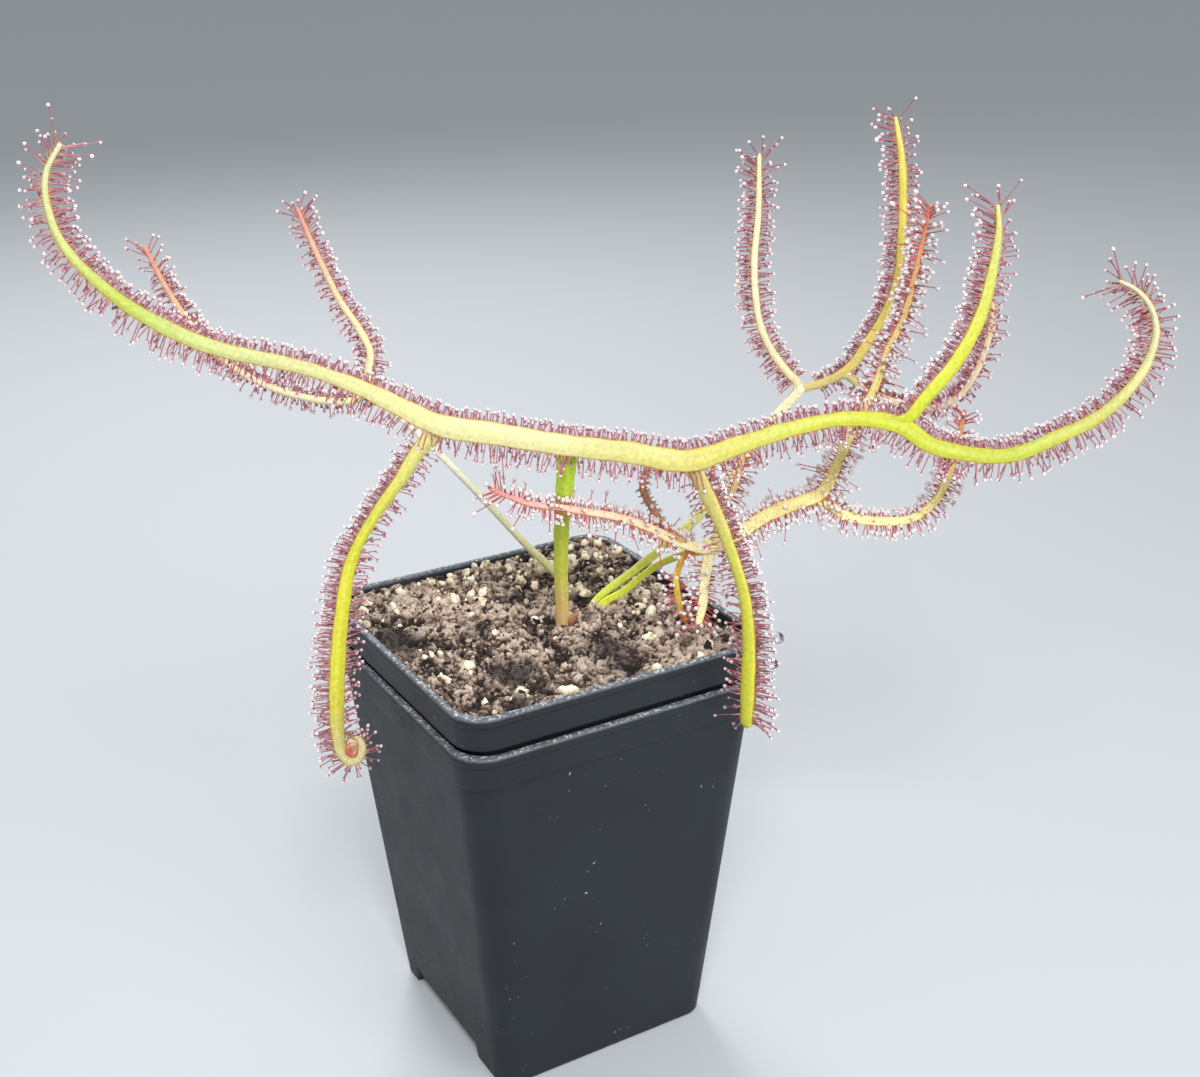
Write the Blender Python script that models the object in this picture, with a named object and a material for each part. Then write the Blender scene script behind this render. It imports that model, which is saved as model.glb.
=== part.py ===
"""Forked sundew growing in a square nursery pot that is nested in a second, equal pot.

Metres, +Z up. The origin is the centre of the outer pot's flat underside and the pot's sides
lie along X and Y. Every leaf is grown from one stalk in the soil, and its arms fork in pairs.
"""
import math

import bmesh
import bpy
import numpy as np

for old in list(bpy.data.objects):
    bpy.data.objects.remove(old, do_unlink=True)

MM = 0.001
GAP = 0.3 * MM            # left between pieces that touch
rng = np.random.default_rng(7)

# Nursery pot, both pots alike: a 70 mm deep pattern with a collar, a lip and rounded corners.
POT_SIDE = 70.0 * MM      # across the lip
POT_HEIGHT = 85.6 * MM
POT_FOOT = 51.4 * MM      # across the underside
COLLAR = 7.2 * MM         # height of the collar, lip included
LIP = 2.0 * MM            # height of the lip at the top of the collar
LIP_OUT = 0.6 * MM        # the lip stands this far out of the collar
STEP_IN = 1.1 * MM        # the body is this much inside the collar
WALL = 0.9 * MM
RIM_WIDTH = 1.6 * MM      # flat top of the lip
FLOOR = 1.2 * MM
CORNER_TOP = 7.0 * MM     # corner radius at the rim
CORNER_FOOT = 5.0 * MM
CORNER_STEPS = 5
STACK_RISE = 8.4 * MM     # the inner pot stands this much higher
NEST_EASE = 0.5 * MM      # the inner pot's hidden body is narrower by this on each side

# Drainage: a low arch in two opposite bottom edges, and holes through the floor.
ARCH_HEIGHT = 3.0 * MM
ARCH_DEPTH = 3.2 * MM
ARCH_FRONT = -14.0 * MM   # the arch runs from here, beside the near foot
ARCH_BACK = 17.0 * MM
DRAIN_RADIUS = 3.0 * MM
DRAIN_OUT = 12.0 * MM

# Soil: the surface stands a little under the rim and is heaped towards the back corner.
SOIL_TOP = 91.2 * MM
SOIL_HEAP = 1.5 * MM
BACK_MOUND = 1.9 * MM     # the back corner is filled up to the rim
SOIL_ROUGH = 0.9 * MM
SOIL_SPOKES = 40
SOIL_RINGS = 9
PERLITE = 26
PERLITE_SIZE = 1.3 * MM   # mean radius of a grain

# Leaves. Their points are in millimetres in a frame turned about Z so that the first number
# runs along the front leaf's arms, the second away from its smooth side and the third up.
LEAF_TURN = math.radians(-30.4)
ROOT_END = 83.0           # height of the stalks' ends in the soil
SECTION_STEP = 5.0 * MM   # between the rings of a blade
BLADE_THICK = 1.1 * MM
STALK_RADIUS = 0.30 * MM  # of a gland's stalk at its foot
DROP_RADIUS = 0.62 * MM
GLAND_SPACING = 2.7 * MM
GLAND_MARGIN = 4.6        # lengths in millimetres: at the margin, on the face
GLAND_FACE = 3.0
TIP_REACH = 1.6           # glands at a tip are longer by this


def material(name, colour, roughness):
    """One Principled material from an sRGB hex colour."""
    mat = bpy.data.materials.new(name)
    mat.use_nodes = True
    srgb = [int(colour[i:i + 2], 16) / 255 for i in (0, 2, 4)]
    linear = [c / 12.92 if c <= 0.04045 else ((c + 0.055) / 1.055) ** 2.4 for c in srgb]
    shader = mat.node_tree.nodes["Principled BSDF"]
    shader.inputs["Base Color"].default_value = (*linear, 1.0)
    shader.inputs["Roughness"].default_value = roughness
    shader.inputs["Metallic"].default_value = 0.0
    mat.diffuse_color = (*linear, 1.0)
    return mat


def solid(name, verts, faces, mat=None):
    """An object from points and faces, with its normals turned outward."""
    mesh = bpy.data.meshes.new(name)
    mesh.from_pydata([tuple(float(c) for c in v) for v in verts], [], faces)
    work = bmesh.new()
    work.from_mesh(mesh)
    bmesh.ops.recalc_face_normals(work, faces=work.faces)
    work.to_mesh(mesh)
    work.free()
    obj = bpy.data.objects.new(name, mesh)
    bpy.context.scene.collection.objects.link(obj)
    if mat is not None:
        mesh.materials.append(mat)
    return obj


def stacked(rings):
    """Points and faces of a closed solid through rings of equal length, flat at both ends."""
    count = len(rings[0])
    verts = np.concatenate(rings)
    faces = [tuple(range(count))[::-1]]
    for level in range(len(rings) - 1):
        for i in range(count):
            j = (i + 1) % count
            low, high = level * count, (level + 1) * count
            faces.append((low + i, low + j, high + j, high + i))
    top = (len(rings) - 1) * count
    faces.append(tuple(range(top, top + count)))
    return verts, faces


def rounded_square(half, radius, z, steps=CORNER_STEPS):
    """Ring of points round a square with rounded corners, at height z."""
    turn = np.linspace(0, math.pi / 2, steps + 1)
    ring = []
    for quarter in range(4):
        angle = turn + quarter * math.pi / 2
        mid = quarter * math.pi / 2 + math.pi / 4
        centre = (half - radius) * math.sqrt(2) * np.array([math.cos(mid), math.sin(mid)])
        x = centre[0] + radius * np.cos(angle)
        y = centre[1] + radius * np.sin(angle)
        ring.append(np.stack([x, y, np.full_like(x, z)], -1))
    return np.concatenate(ring)


def spread_round(ring, count):
    """The same outline with its points evenly spaced, as chords inside the first ring."""
    closed = np.vstack([ring, ring[:1]])
    run = np.concatenate([[0], np.cumsum(np.linalg.norm(np.diff(closed, axis=0), axis=1))])
    even = np.arange(count) * run[-1] / count
    return np.stack([np.interp(even, run, closed[:, i]) for i in range(3)], -1)


def combine(target, others, operation, solver="EXACT"):
    """Join the others to the target, or cut them from it, in one step, and drop them."""
    group = bpy.data.collections.new("operands")
    bpy.context.scene.collection.children.link(group)
    for other in others:
        bpy.context.scene.collection.objects.unlink(other)
        group.objects.link(other)
    change = target.modifiers.new("combine", "BOOLEAN")
    change.operation = operation
    change.operand_type = "COLLECTION"
    change.collection = group
    change.solver = solver
    bpy.context.view_layer.update()
    done = target.evaluated_get(bpy.context.evaluated_depsgraph_get())
    mesh = bpy.data.meshes.new_from_object(done)
    target.modifiers.clear()
    target.data = mesh
    for other in others:
        bpy.data.objects.remove(other, do_unlink=True)
    bpy.data.collections.remove(group)
    return target


def largest_piece(obj):
    """Keep the biggest closed shell: scraps and sealed hollows go."""
    work = bmesh.new()
    work.from_mesh(obj.data)
    left = set(work.faces)
    shells = []
    while left:
        seed = left.pop()
        shell = [seed]
        front = [seed]
        while front:
            for edge in front.pop().edges:
                for face in edge.link_faces:
                    if face in left:
                        left.remove(face)
                        shell.append(face)
                        front.append(face)
        shells.append(shell)
    shells.sort(key=len)
    for shell in shells[:-1]:
        bmesh.ops.delete(work, geom=shell, context="FACES")
    loose = [vert for vert in work.verts if not vert.link_faces]
    bmesh.ops.delete(work, geom=loose, context="VERTS")
    bmesh.ops.recalc_face_normals(work, faces=work.faces)
    work.to_mesh(obj.data)
    work.free()
    return obj


def smooth(obj, degrees=40):
    """Shade the round parts smooth and keep the sharp edges."""
    obj.data.shade_smooth()
    obj.data.set_sharp_from_angle(angle=math.radians(degrees))


def body_half(z):
    """Half the width of a pot's body at a height above its own underside."""
    top = POT_SIDE / 2 - LIP_OUT - STEP_IN
    return POT_FOOT / 2 + (top - POT_FOOT / 2) * z / (POT_HEIGHT - COLLAR)


def corner_at(z):
    """Corner radius of the body at that height."""
    return CORNER_FOOT + (CORNER_TOP - CORNER_FOOT) * z / POT_HEIGHT


def pot(name, lift, ease, mat):
    """One pot as a closed shell: up the outside, over the rim and down the inside."""
    shoulder = POT_HEIGHT - COLLAR
    collar = POT_SIDE / 2 - LIP_OUT
    mouth = POT_SIDE / 2 - RIM_WIDTH
    inner_step = shoulder + WALL
    edge = 0.4 * MM       # small bevel of the lip and of the foot
    profile = [
        (POT_FOOT / 2 - ease - edge, 0.0),
        (POT_FOOT / 2 - ease, edge),
        (body_half(shoulder) - ease, shoulder),
        (collar, shoulder + edge),
        (collar, POT_HEIGHT - LIP),
        (POT_SIDE / 2, POT_HEIGHT - LIP + edge),
        (POT_SIDE / 2, POT_HEIGHT - edge),
        (POT_SIDE / 2 - edge, POT_HEIGHT),
        (mouth + edge, POT_HEIGHT),
        (mouth, POT_HEIGHT - edge),
        (mouth, inner_step + edge),
        (body_half(inner_step) - ease - WALL, inner_step),
        (body_half(FLOOR) - ease - WALL, FLOOR),
    ]
    rings = []
    for half, z in profile:
        offset = max(body_half(min(z, shoulder)) - half, 0.0)
        rings.append(rounded_square(half, corner_at(z) - 0.7 * offset, z + lift))
    return solid(name, *stacked(rings), mat)


def block(x0, x1, y0, y1, z0, z1, lean=0.0):
    """A box; its low-Y end leans outward at the bottom by the given amount."""
    ring = [(x0, y0 - lean), (x1, y0 - lean), (x1, y1), (x0, y1)]
    low = [(x, y, z0) for x, y in ring]
    high = [(x0, y0, z1), (x1, y0, z1), (x1, y1, z1), (x0, y1, z1)]
    return solid("block", *stacked([np.array(low), np.array(high)]))


def drum(x, y, z0, z1, radius, sides=16):
    """An upright round bar."""
    angle = np.arange(sides) * 2 * math.pi / sides
    ring = np.stack([x + radius * np.cos(angle), y + radius * np.sin(angle)], -1)
    rings = [np.column_stack([ring, np.full(sides, z)]) for z in (z0, z1)]
    return solid("drum", *stacked(rings))


def sill(side, lift, ease, grow=0.0):
    """The raised strip of floor behind one arch, fatter all round by grow."""
    foot = POT_FOOT / 2 - ease
    near, far = sorted((side * (foot - WALL / 2 + 4 * grow),
                        side * (foot - ARCH_DEPTH - FLOOR - grow)))
    return block(near, far, ARCH_FRONT - 3 * MM - grow, ARCH_BACK + 2 * MM + grow,
                 lift + FLOOR / 2, lift + ARCH_HEIGHT + FLOOR + grow)


def drain(obj, lift, ease):
    """Raise the floor behind two opposite bottom edges, then cut the arches and the holes."""
    foot = POT_FOOT / 2 - ease
    cuts = []
    for side in (-1, 1):
        near, far = sorted((side * (foot + 5 * MM), side * (foot - ARCH_DEPTH)))
        cuts.append(block(near, far, ARCH_FRONT, ARCH_BACK, lift - MM,
                          lift + ARCH_HEIGHT, lean=1.5 * MM))
    for x in (-1, 1):
        for y in (-1, 1):
            cuts.append(drum(x * DRAIN_OUT, y * DRAIN_OUT, lift - MM, lift + 4 * MM, DRAIN_RADIUS))
    combine(obj, [sill(side, lift, ease) for side in (-1, 1)], "UNION")
    combine(obj, cuts, "DIFFERENCE")
    return largest_piece(obj)


plastic = material("pot_plastic", "34393F", 0.5)
plastic_inner = material("pot_plastic_inner", "343A40", 0.5)

outer_pot = drain(pot("outer_pot", 0.0, 0.0, plastic), 0.0, 0.0)
inner_pot = drain(pot("inner_pot", STACK_RISE, NEST_EASE, plastic_inner), STACK_RISE, NEST_EASE)
smooth(outer_pot)
smooth(inner_pot)


# Leaves: each arm is a smooth curve through a few points, with its width at even steps along
# it, all in millimetres. "face" is the side that carries the glands, and "start" is the share of
# the arm from which they stand; a stalk has none. "step" is for an arm that coils tightly.
AWAY = (0.0, 1.0, 0.25)
TOWARDS = (0.0, -0.8, 0.6)
LEAVES = {
    "leaf_front": [
        dict(points=[(4.5, 3, ROOT_END), (4.5, 2.5, 91), (4.5, 0, 106), (5, -4, 117),
                     (6, -10, 128), (6.5, -14, 136.5)],
             width=[2.9, 3.1, 3.0, 3.2], thick=2.0, face=AWAY),
        dict(points=[(9.5, -14, 135.5), (6.5, -14, 136), (-6.5, -14, 138.5), (-18.5, -14, 141),
                     (-25, -15, 146), (-31, -16, 149.5), (-39, -18, 153.5), (-61.5, -22, 161.5),
                     (-74.5, -23, 170), (-84, -21, 181.5), (-84.5, -19, 190.5), (-81.5, -18, 195)],
             width=[5.2, 5.4, 4.6, 3.4, 3.0, 2.7, 2.3, 1.8, 1.0], face=AWAY, start=0.02),
        dict(points=[(-12, -14, 139.5), (-18.5, -14, 140), (-21.5, -15, 136.5), (-25.5, -17, 131),
                     (-30.5, -19, 124.5), (-35.3, -20, 116), (-37.8, -21, 105.5),
                     (-39.4, -21, 95), (-40.3, -21, 86), (-40.7, -20.5, 77.7), (-40.3, -20, 73.3),
                     (-38.8, -19.5, 70.8), (-37, -19, 71.4), (-36.2, -18.4, 73.5),
                     (-36.8, -17.8, 75.3), (-38.2, -17.3, 75.5)],
             width=[4.4, 4.2, 3.4, 3.1, 3.1, 3.1, 3.1, 3.0, 2.8, 2.0, 1.1], face=AWAY,
             start=0.14, step=2.5),
        dict(points=[(3.5, -14, 136.5), (6.5, -14, 136), (18.5, -16, 135), (30, -18, 134),
                     (39.5, -18, 137.5), (50.5, -18, 141), (60, -18, 142.5), (70.5, -18, 140.5),
                     (75, -19, 137.5), (81.5, -20, 136), (90, -20, 135.5), (99.5, -19, 138),
                     (107, -18, 141.5), (112.5, -17, 146.5), (116, -15, 152.5), (117, -14, 158),
                     (115.5, -13, 162.5), (112.5, -13, 165.5), (109.5, -13, 167)],
             width=[5.2, 5.2, 4.8, 3.2, 3.0, 3.4, 3.4, 3.0, 2.7, 2.0, 1.2, 0.8],
             face=AWAY, start=0.06),
        dict(points=[(26, -17.5, 134.5), (30.5, -18.5, 132.5), (33.5, -20, 127.5),
                     (37.5, -24, 118.5), (40, -27, 110.5), (41, -28, 101.5), (41, -28, 90.5),
                     (41, -27, 82.5)],
             width=[4.4, 3.9, 3.2, 2.9, 2.9, 2.9, 2.6], face=AWAY, start=0.12),
        dict(points=[(67, -18, 141.5), (70.5, -18, 142), (74, -17, 146), (79.5, -15, 152),
                     (84, -13, 160), (86, -12, 169), (86.5, -12, 176.5), (86, -12, 181)],
             width=[3.2, 3.1, 2.9, 2.7, 2.4, 1.9, 1.1], face=AWAY, start=0.14),
    ],
    "leaf_back_left": [
        dict(points=[(9, 23.2, ROOT_END), (4.9, 22.4, 91), (-4.9, 21, 103), (-13.1, 19, 113.8),
                     (-21.1, 17, 124.1), (-28.9, 15, 133.3), (-34.5, 14, 139)],
             width=[2.3, 2.2, 2.0, 1.7, 1.6, 1.7], thick=1.5, face=AWAY),
        dict(points=[(-31.5, 14.5, 136), (-34, 14, 139), (-34.7, 14, 143), (-34, 14, 147.5),
                     (-36, 14, 152.5), (-39.5, 14, 158.5), (-42, 14, 164.5), (-44.5, 14, 171),
                     (-46.5, 14, 177)],
             width=[1.8, 1.9, 2.0, 1.9, 1.6, 1.1], face=AWAY, start=0.12),
        dict(points=[(-31.5, 14.5, 136), (-34.5, 14, 138), (-38.5, 13, 137.5), (-49, 12, 139),
                     (-61.5, 11, 145.5), (-72, 10, 160), (-76.5, 10, 170.5)],
             width=[1.8, 1.9, 1.9, 1.8, 1.6, 1.0], face=AWAY, start=0.12),
    ],
    "leaf_back_right": [
        dict(points=[(8, 11.6, ROOT_END), (11.2, 11.3, 91.5), (19.9, 12, 98.9), (26.8, 12.6, 104.5),
                     (34, 13, 111.2), (42.4, 14, 122.1), (48.4, 14, 130.9), (55, 14, 139)],
             width=[1.6, 1.8, 2.0, 2.2, 2.2, 2.2], thick=1.6, face=AWAY),
        dict(points=[(52, 14, 135.5), (54, 14, 139.5), (51.5, 14, 142.5), (48.5, 15, 146.5),
                     (46, 15, 152), (44.8, 15, 158.5), (44.5, 16, 165.5), (45, 16, 173.5),
                     (45, 16, 186)],
             width=[2.0, 2.1, 2.0, 1.9, 1.8, 1.5, 1.0], face=AWAY, start=0.1),
        dict(points=[(51.5, 14, 135), (55, 14, 138.5), (58.5, 13, 140), (63.5, 12, 143),
                     (68, 12, 149.5), (71.5, 12, 156.5), (73, 12, 162), (73.5, 13, 169.5),
                     (73.5, 14, 177.5), (73, 15, 185), (71.5, 16, 193)],
             width=[2.1, 2.3, 2.5, 2.2, 2.1, 1.9, 1.6, 1.0], face=AWAY, start=0.12),
        dict(points=[(60.5, 12.5, 141), (63.5, 12, 142), (67, 11, 139.5), (71.5, 10, 137.5),
                     (75.5, 9, 136.5), (80.5, 8, 136), (85.5, 8, 138), (89, 8, 143),
                     (91, 8, 149.5), (91.5, 8, 156.5), (90.5, 8, 161.5)],
             width=[1.9, 1.8, 1.6, 1.5, 1.4, 1.0], face=AWAY, start=0.12),
    ],
    "leaf_low_right": [
        dict(points=[(11.5, 7.8, ROOT_END), (12.7, 9.3, 91.9), (17.9, 9, 95.6), (21.5, 8, 99.3),
                     (24.8, 6, 102.7), (28.2, 3.2, 105.6), (31.2, 0.6, 107.7), (36, -1.2, 109.3)],
             width=[1.5, 1.6, 1.5, 1.6, 2.2], thick=1.5, face=TOWARDS),
        dict(points=[(37, -1, 109.5), (34, -1.5, 109.5), (29, -2, 111), (23, -4, 115),
                     (16.5, -6.5, 118.5), (10.5, -8.5, 120.5), (5, -9.7, 122), (-1, -10, 123),
                     (-6, -10, 125), (-9, -10, 126.5)],
             width=[2.6, 2.4, 2.0, 1.7, 1.4, 0.9], face=TOWARDS, start=0.1),
        dict(points=[(33, -1, 109.3), (36, -1, 109.5), (41, -2, 113), (47, -2, 117), (53, -3, 120),
                     (57, -3, 121.5), (60, -2, 126.5), (62.5, -1, 132.5), (65, 0, 137.5),
                     (67.5, 0, 143), (70, 1, 150.5), (72.5, 1, 156.5), (74, 1, 163.5),
                     (76.5, 2, 178.5)],
             width=[2.8, 3.4, 3.6, 3.0, 2.3, 2.0, 1.8, 1.6, 1.4, 0.9],
             face=TOWARDS, start=0.05),
        dict(points=[(54, -3, 120), (57, -3.2, 120.5), (62, -4, 117.5), (69.5, -4, 116),
                     (75.5, -4, 116.5), (80.5, -3, 120), (83, -3, 126.5), (84, -3, 131),
                     (85, -3, 139)],
             width=[2.6, 2.3, 2.1, 2.0, 1.8, 1.5, 1.0], face=TOWARDS, start=0.1),
        dict(points=[(35.5, -0.5, 111), (35, -1.5, 108), (34, -4, 103.5), (33.5, -6, 99),
                     (32.5, -8, 95)],
             width=[3.0, 2.5, 2.2, 2.0, 1.4], face=TOWARDS, start=0.25),
        dict(points=[(33, -0.5, 109.5), (30, 0, 107), (28.5, -1, 103.5), (29, -4, 98),
                     (30, -6, 95.3)],
             width=[1.6, 1.4, 1.4, 1.3, 0.9], face=TOWARDS, start=0.45),
        dict(points=[(30, -2, 110.5), (27, -2, 113), (23, -1, 119), (21.5, 0, 122),
                     (22, 1, 125), (24, 2, 126.3), (25.5, 3, 124.8)],
             width=[1.6, 1.3, 1.1, 0.9], face=TOWARDS),
        dict(points=[(36.5, -1, 110), (37.5, 0, 117), (40, 1, 121.5), (41.5, 2, 126.5),
                     (42.5, 3, 131.5)],
             width=[2.2, 1.4, 1.3, 0.9], face=TOWARDS, start=0.3),
    ],
}


def to_row(points):
    """Leaf points in millimetres, turned into the pot's frame, in metres."""
    p = np.asarray(points, float) * MM
    c, s = math.cos(LEAF_TURN), math.sin(LEAF_TURN)
    return np.stack([c * p[..., 0] - s * p[..., 1], s * p[..., 0] + c * p[..., 1], p[..., 2]], -1)


def unit(v):
    return v / np.linalg.norm(v, axis=-1, keepdims=True)


def smooth_curve(points, step):
    """Evenly spaced points along a smooth curve through the given ones."""
    knots = np.concatenate([[0], np.cumsum(np.linalg.norm(np.diff(points, axis=0), axis=1))])
    slope = np.gradient(points, knots, axis=0)
    fine = np.linspace(0, knots[-1], max(int(knots[-1] / (0.5 * MM)), 8))
    k = np.clip(np.searchsorted(knots, fine, side="right") - 1, 0, len(knots) - 2)
    span = (knots[k + 1] - knots[k])[:, None]
    t = ((fine - knots[k])[:, None]) / span
    line = ((2 * t**3 - 3 * t**2 + 1) * points[k] + (t**3 - 2 * t**2 + t) * span * slope[k]
            + (3 * t**2 - 2 * t**3) * points[k + 1] + (t**3 - t**2) * span * slope[k + 1])
    run = np.concatenate([[0], np.cumsum(np.linalg.norm(np.diff(line, axis=0), axis=1))])
    count = max(int(round(run[-1] / step)) + 1, 4)
    even = np.linspace(0, run[-1], count)
    return np.stack([np.interp(even, run, line[:, i]) for i in range(3)], -1), run[-1]


def carried_frames(line, face):
    """Direction, gland side and width direction at each point, carried along without twist."""
    along = unit(np.gradient(line, axis=0))
    side = face - np.dot(face, along[0]) * along[0]
    sides = []
    for direction in along:
        side = unit(side - np.dot(side, direction) * direction)
        sides.append(side)
    sides = np.array(sides)
    return along, sides, np.cross(along, sides)


class Arm:
    """One arm of a leaf: its curve, frames and widths in the pot's frame."""

    def __init__(self, spec):
        step = spec.get("step", SECTION_STEP / MM) * MM
        self.line, self.length = smooth_curve(to_row(spec["points"]), step)
        self.along, self.up, self.across = carried_frames(self.line, to_row(spec["face"]) / MM)
        share = np.linspace(0, 1, len(self.line))
        widths = np.array(spec["width"]) * MM
        self.width = np.interp(share, np.linspace(0, 1, len(widths)), widths)
        self.thick = np.minimum(self.width, spec.get("thick", BLADE_THICK / MM) * MM)
        self.share = share
        self.start = spec.get("start")

    def at(self, share):
        """Point, direction, gland side, width direction, width and thickness at a share."""
        pick = [np.array([np.interp(share, self.share, a[:, i]) for i in range(3)])
                for a in (self.line, self.along, self.up, self.across)]
        sizes = [np.interp(share, self.share, a) for a in (self.width, self.thick)]
        return (pick[0], unit(pick[1]), unit(pick[2]), unit(pick[3]), *sizes)


# Six-sided section of a blade: rounded on the smooth side, flat on the gland side.
SECTION = np.array([(-0.5, 0.0), (-0.3, -0.5), (0.3, -0.5), (0.5, 0.0), (0.38, 0.5), (-0.38, 0.5)])


def blade(arm, grow=0.0):
    """Closed solid along an arm; grow makes it fatter on every side and longer at its start."""
    line = arm.line.copy()
    line[0] = line[0] - arm.along[0] * grow
    wide = (arm.width + 2 * grow)[:, None, None]
    thick = (arm.thick + 2 * grow)[:, None, None]
    rings = (line[:, None, :] + arm.across[:, None, :] * SECTION[None, :, :1] * wide
             + arm.up[:, None, :] * SECTION[None, :, 1:] * thick)
    return solid("blade", *stacked(list(rings)))


def gland(root, tip, radius, head):
    """Three-sided stalk with a drop at its end, as one closed solid."""
    axis = unit(tip - root)
    first = unit(np.cross(axis, (0.31, 0.2, 0.93)))
    second = np.cross(axis, first)
    turn = np.arange(3) * 2 * math.pi / 3
    ring = np.cos(turn)[:, None] * first + np.sin(turn)[:, None] * second
    levels = [(root, radius), (tip - axis * 1.4 * head, 0.65 * radius), (tip, head),
              (tip + axis * 0.75 * head, 0.3 * head)]
    return solid("gland", *stacked([centre + ring * r for centre, r in levels]))


arms = {name: [Arm(spec) for spec in specs] for name, specs in LEAVES.items()}


def away_from_pots(points):
    """True if every point is clear of the pots and of the soil."""
    reach = np.abs(points[:, :2]).max(axis=1)
    rim = STACK_RISE + POT_HEIGHT
    beside = reach > POT_SIDE / 2 + 1.2 * MM
    above = points[:, 2] > rim + 1.2 * MM
    over_soil = (reach < POT_SIDE / 2 - 4 * MM) & (points[:, 2] > SOIL_TOP + 3.2 * MM)
    return bool(np.all(beside | above | over_soil))


def glands_of(name, placed):
    """Glands along a leaf's arms: two of three at the margins, the others on the face."""
    others = [a for key, group in arms.items() if key != name for a in group]
    lines = np.concatenate([a.line[:-1] * (1 - t) + a.line[1:] * t
                            for t in (0.0, 0.33, 0.67) for a in others])
    far = np.concatenate([a.width[:-1] / 2 for _ in range(3) for a in others]) + 1.3 * MM
    taken = np.array([p for key, p in placed if key != name]).reshape(-1, 3)
    pattern = [-1.0, 1.0, -0.35, 1.0, -1.0, 0.35]
    made = []
    count = 0
    for arm in arms[name]:
        if arm.start is None:
            continue
        usable = arm.length * (1 - arm.start)
        number = int(usable / GLAND_SPACING)
        for i in range(number + 1):
            along_share = arm.start + (1 - arm.start) * i / number
            centre, along, up, across, width, thick = arm.at(along_share)
            place = pattern[count % len(pattern)]
            count += 1
            edge = abs(place) > 0.9
            long = (GLAND_MARGIN if edge else GLAND_FACE) * MM * rng.uniform(0.85, 1.1)
            tip_share = np.clip(1 - (1 - along_share) * arm.length / (9 * MM), 0, 1)
            long *= 1 + (TIP_REACH - 1) * tip_share
            lean = across * np.sign(place) * (0.9 if edge else 0.3) + up * (0.45 if edge else 1.0)
            lean = lean + along * (rng.uniform(-0.25, 0.25) + 0.9 * tip_share)
            direction = unit(lean + rng.normal(0, 0.1, 3))
            root = centre + across * place * (width / 2 - 0.45 * MM)
            tip = root + direction * (long + 0.4 * MM)
            check = np.array([root * (1 - t) + tip * t for t in (0.5, 0.75, 1.0)])
            gap = np.linalg.norm(check[:, None] - lines[None], axis=2) - far[None]
            if gap.min() < 0 or not away_from_pots(check):
                continue
            if len(taken) and np.linalg.norm(check[:, None] - taken[None], axis=2).min() < 1.6 * MM:
                continue
            placed.extend((name, p) for p in check)
            made.append(gland(root, tip, STALK_RADIUS, DROP_RADIUS))
    return made


LEAF_COLOURS = {
    "leaf_front": "C6D63C",
    "leaf_back_left": "C9B860",
    "leaf_back_right": "C8C95A",
    "leaf_low_right": "D6C25E",
}
taken_points = []
for leaf_name, leaf_arms in arms.items():
    blades = [blade(a) for a in leaf_arms]
    parts = blades[1:] + glands_of(leaf_name, taken_points)
    leaf = combine(blades[0], parts, "UNION", "MANIFOLD")
    largest_piece(leaf)
    leaf.name = leaf_name
    leaf.data.name = leaf_name
    leaf.data.materials.clear()
    leaf.data.materials.append(material(leaf_name, LEAF_COLOURS[leaf_name], 0.45))
    smooth(leaf)


def soil_height(x, y):
    """Height of the soil: a heap towards the back corner with clods and dips on it."""
    half = POT_SIDE / 2
    towards_back = (x + y) / (2 * half)
    heap = SOIL_HEAP * np.clip(towards_back, -0.6, 1.0)
    heap = heap + BACK_MOUND * np.clip((towards_back - 0.5) / 0.3, 0, 1) ** 2
    rough = (np.sin(x * 520 + 1.3) * np.sin(y * 610 + 0.4) + 0.7 * np.sin(x * 930 - y * 410)
             + 0.6 * np.sin(x * 350 + y * 1010 + 2.1))
    edge = np.clip((half - np.maximum(np.abs(x), np.abs(y))) / (6 * MM), 0, 1)
    return SOIL_TOP + heap + SOIL_ROUGH * 0.55 * rough * (0.3 + 0.7 * edge)


def soil_body(mat):
    """The filled-in soil: a ring-by-ring top over straight sides that follow the pot inside."""
    shelf = STACK_RISE + POT_HEIGHT - COLLAR + WALL + GAP
    mouth = POT_SIDE / 2 - RIM_WIDTH - GAP
    sides = []
    bottom = STACK_RISE + FLOOR + GAP
    inset = NEST_EASE + WALL
    for half, radius, z in (
            (body_half(FLOOR) - inset - GAP, corner_at(FLOOR) - 0.7 * inset, bottom),
            (body_half(shelf - STACK_RISE) - inset - GAP, CORNER_TOP - 0.7 * inset, shelf),
            (mouth, CORNER_TOP, shelf + GAP),
            (mouth, CORNER_TOP, SOIL_TOP)):
        sides.append(spread_round(rounded_square(half, radius - GAP, z), SOIL_SPOKES))
    count = len(sides[0])
    verts, faces = stacked(sides)
    faces.pop()
    verts = list(verts)
    edge = sides[-1]
    for ring in range(SOIL_RINGS - 1, 0, -1):
        share = ring / SOIL_RINGS
        for point in edge:
            x, y = point[:2] * share
            verts.append((x, y, float(soil_height(x, y))))
    verts.append((0.0, 0.0, float(soil_height(0.0, 0.0))))
    for i in range(3 * count, 4 * count):
        x, y = verts[i][:2]
        verts[i] = (x, y, float(soil_height(x, y)))
    for ring in range(SOIL_RINGS - 1):
        low = (3 + ring) * count
        for i in range(count):
            j = (i + 1) % count
            faces.append((low + i, low + j, low + count + j, low + count + i))
    last = (2 + SOIL_RINGS) * count
    for i in range(count):
        faces.append((last + i, last + (i + 1) % count, len(verts) - 1))
    return solid("soil", verts, faces, mat)


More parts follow.
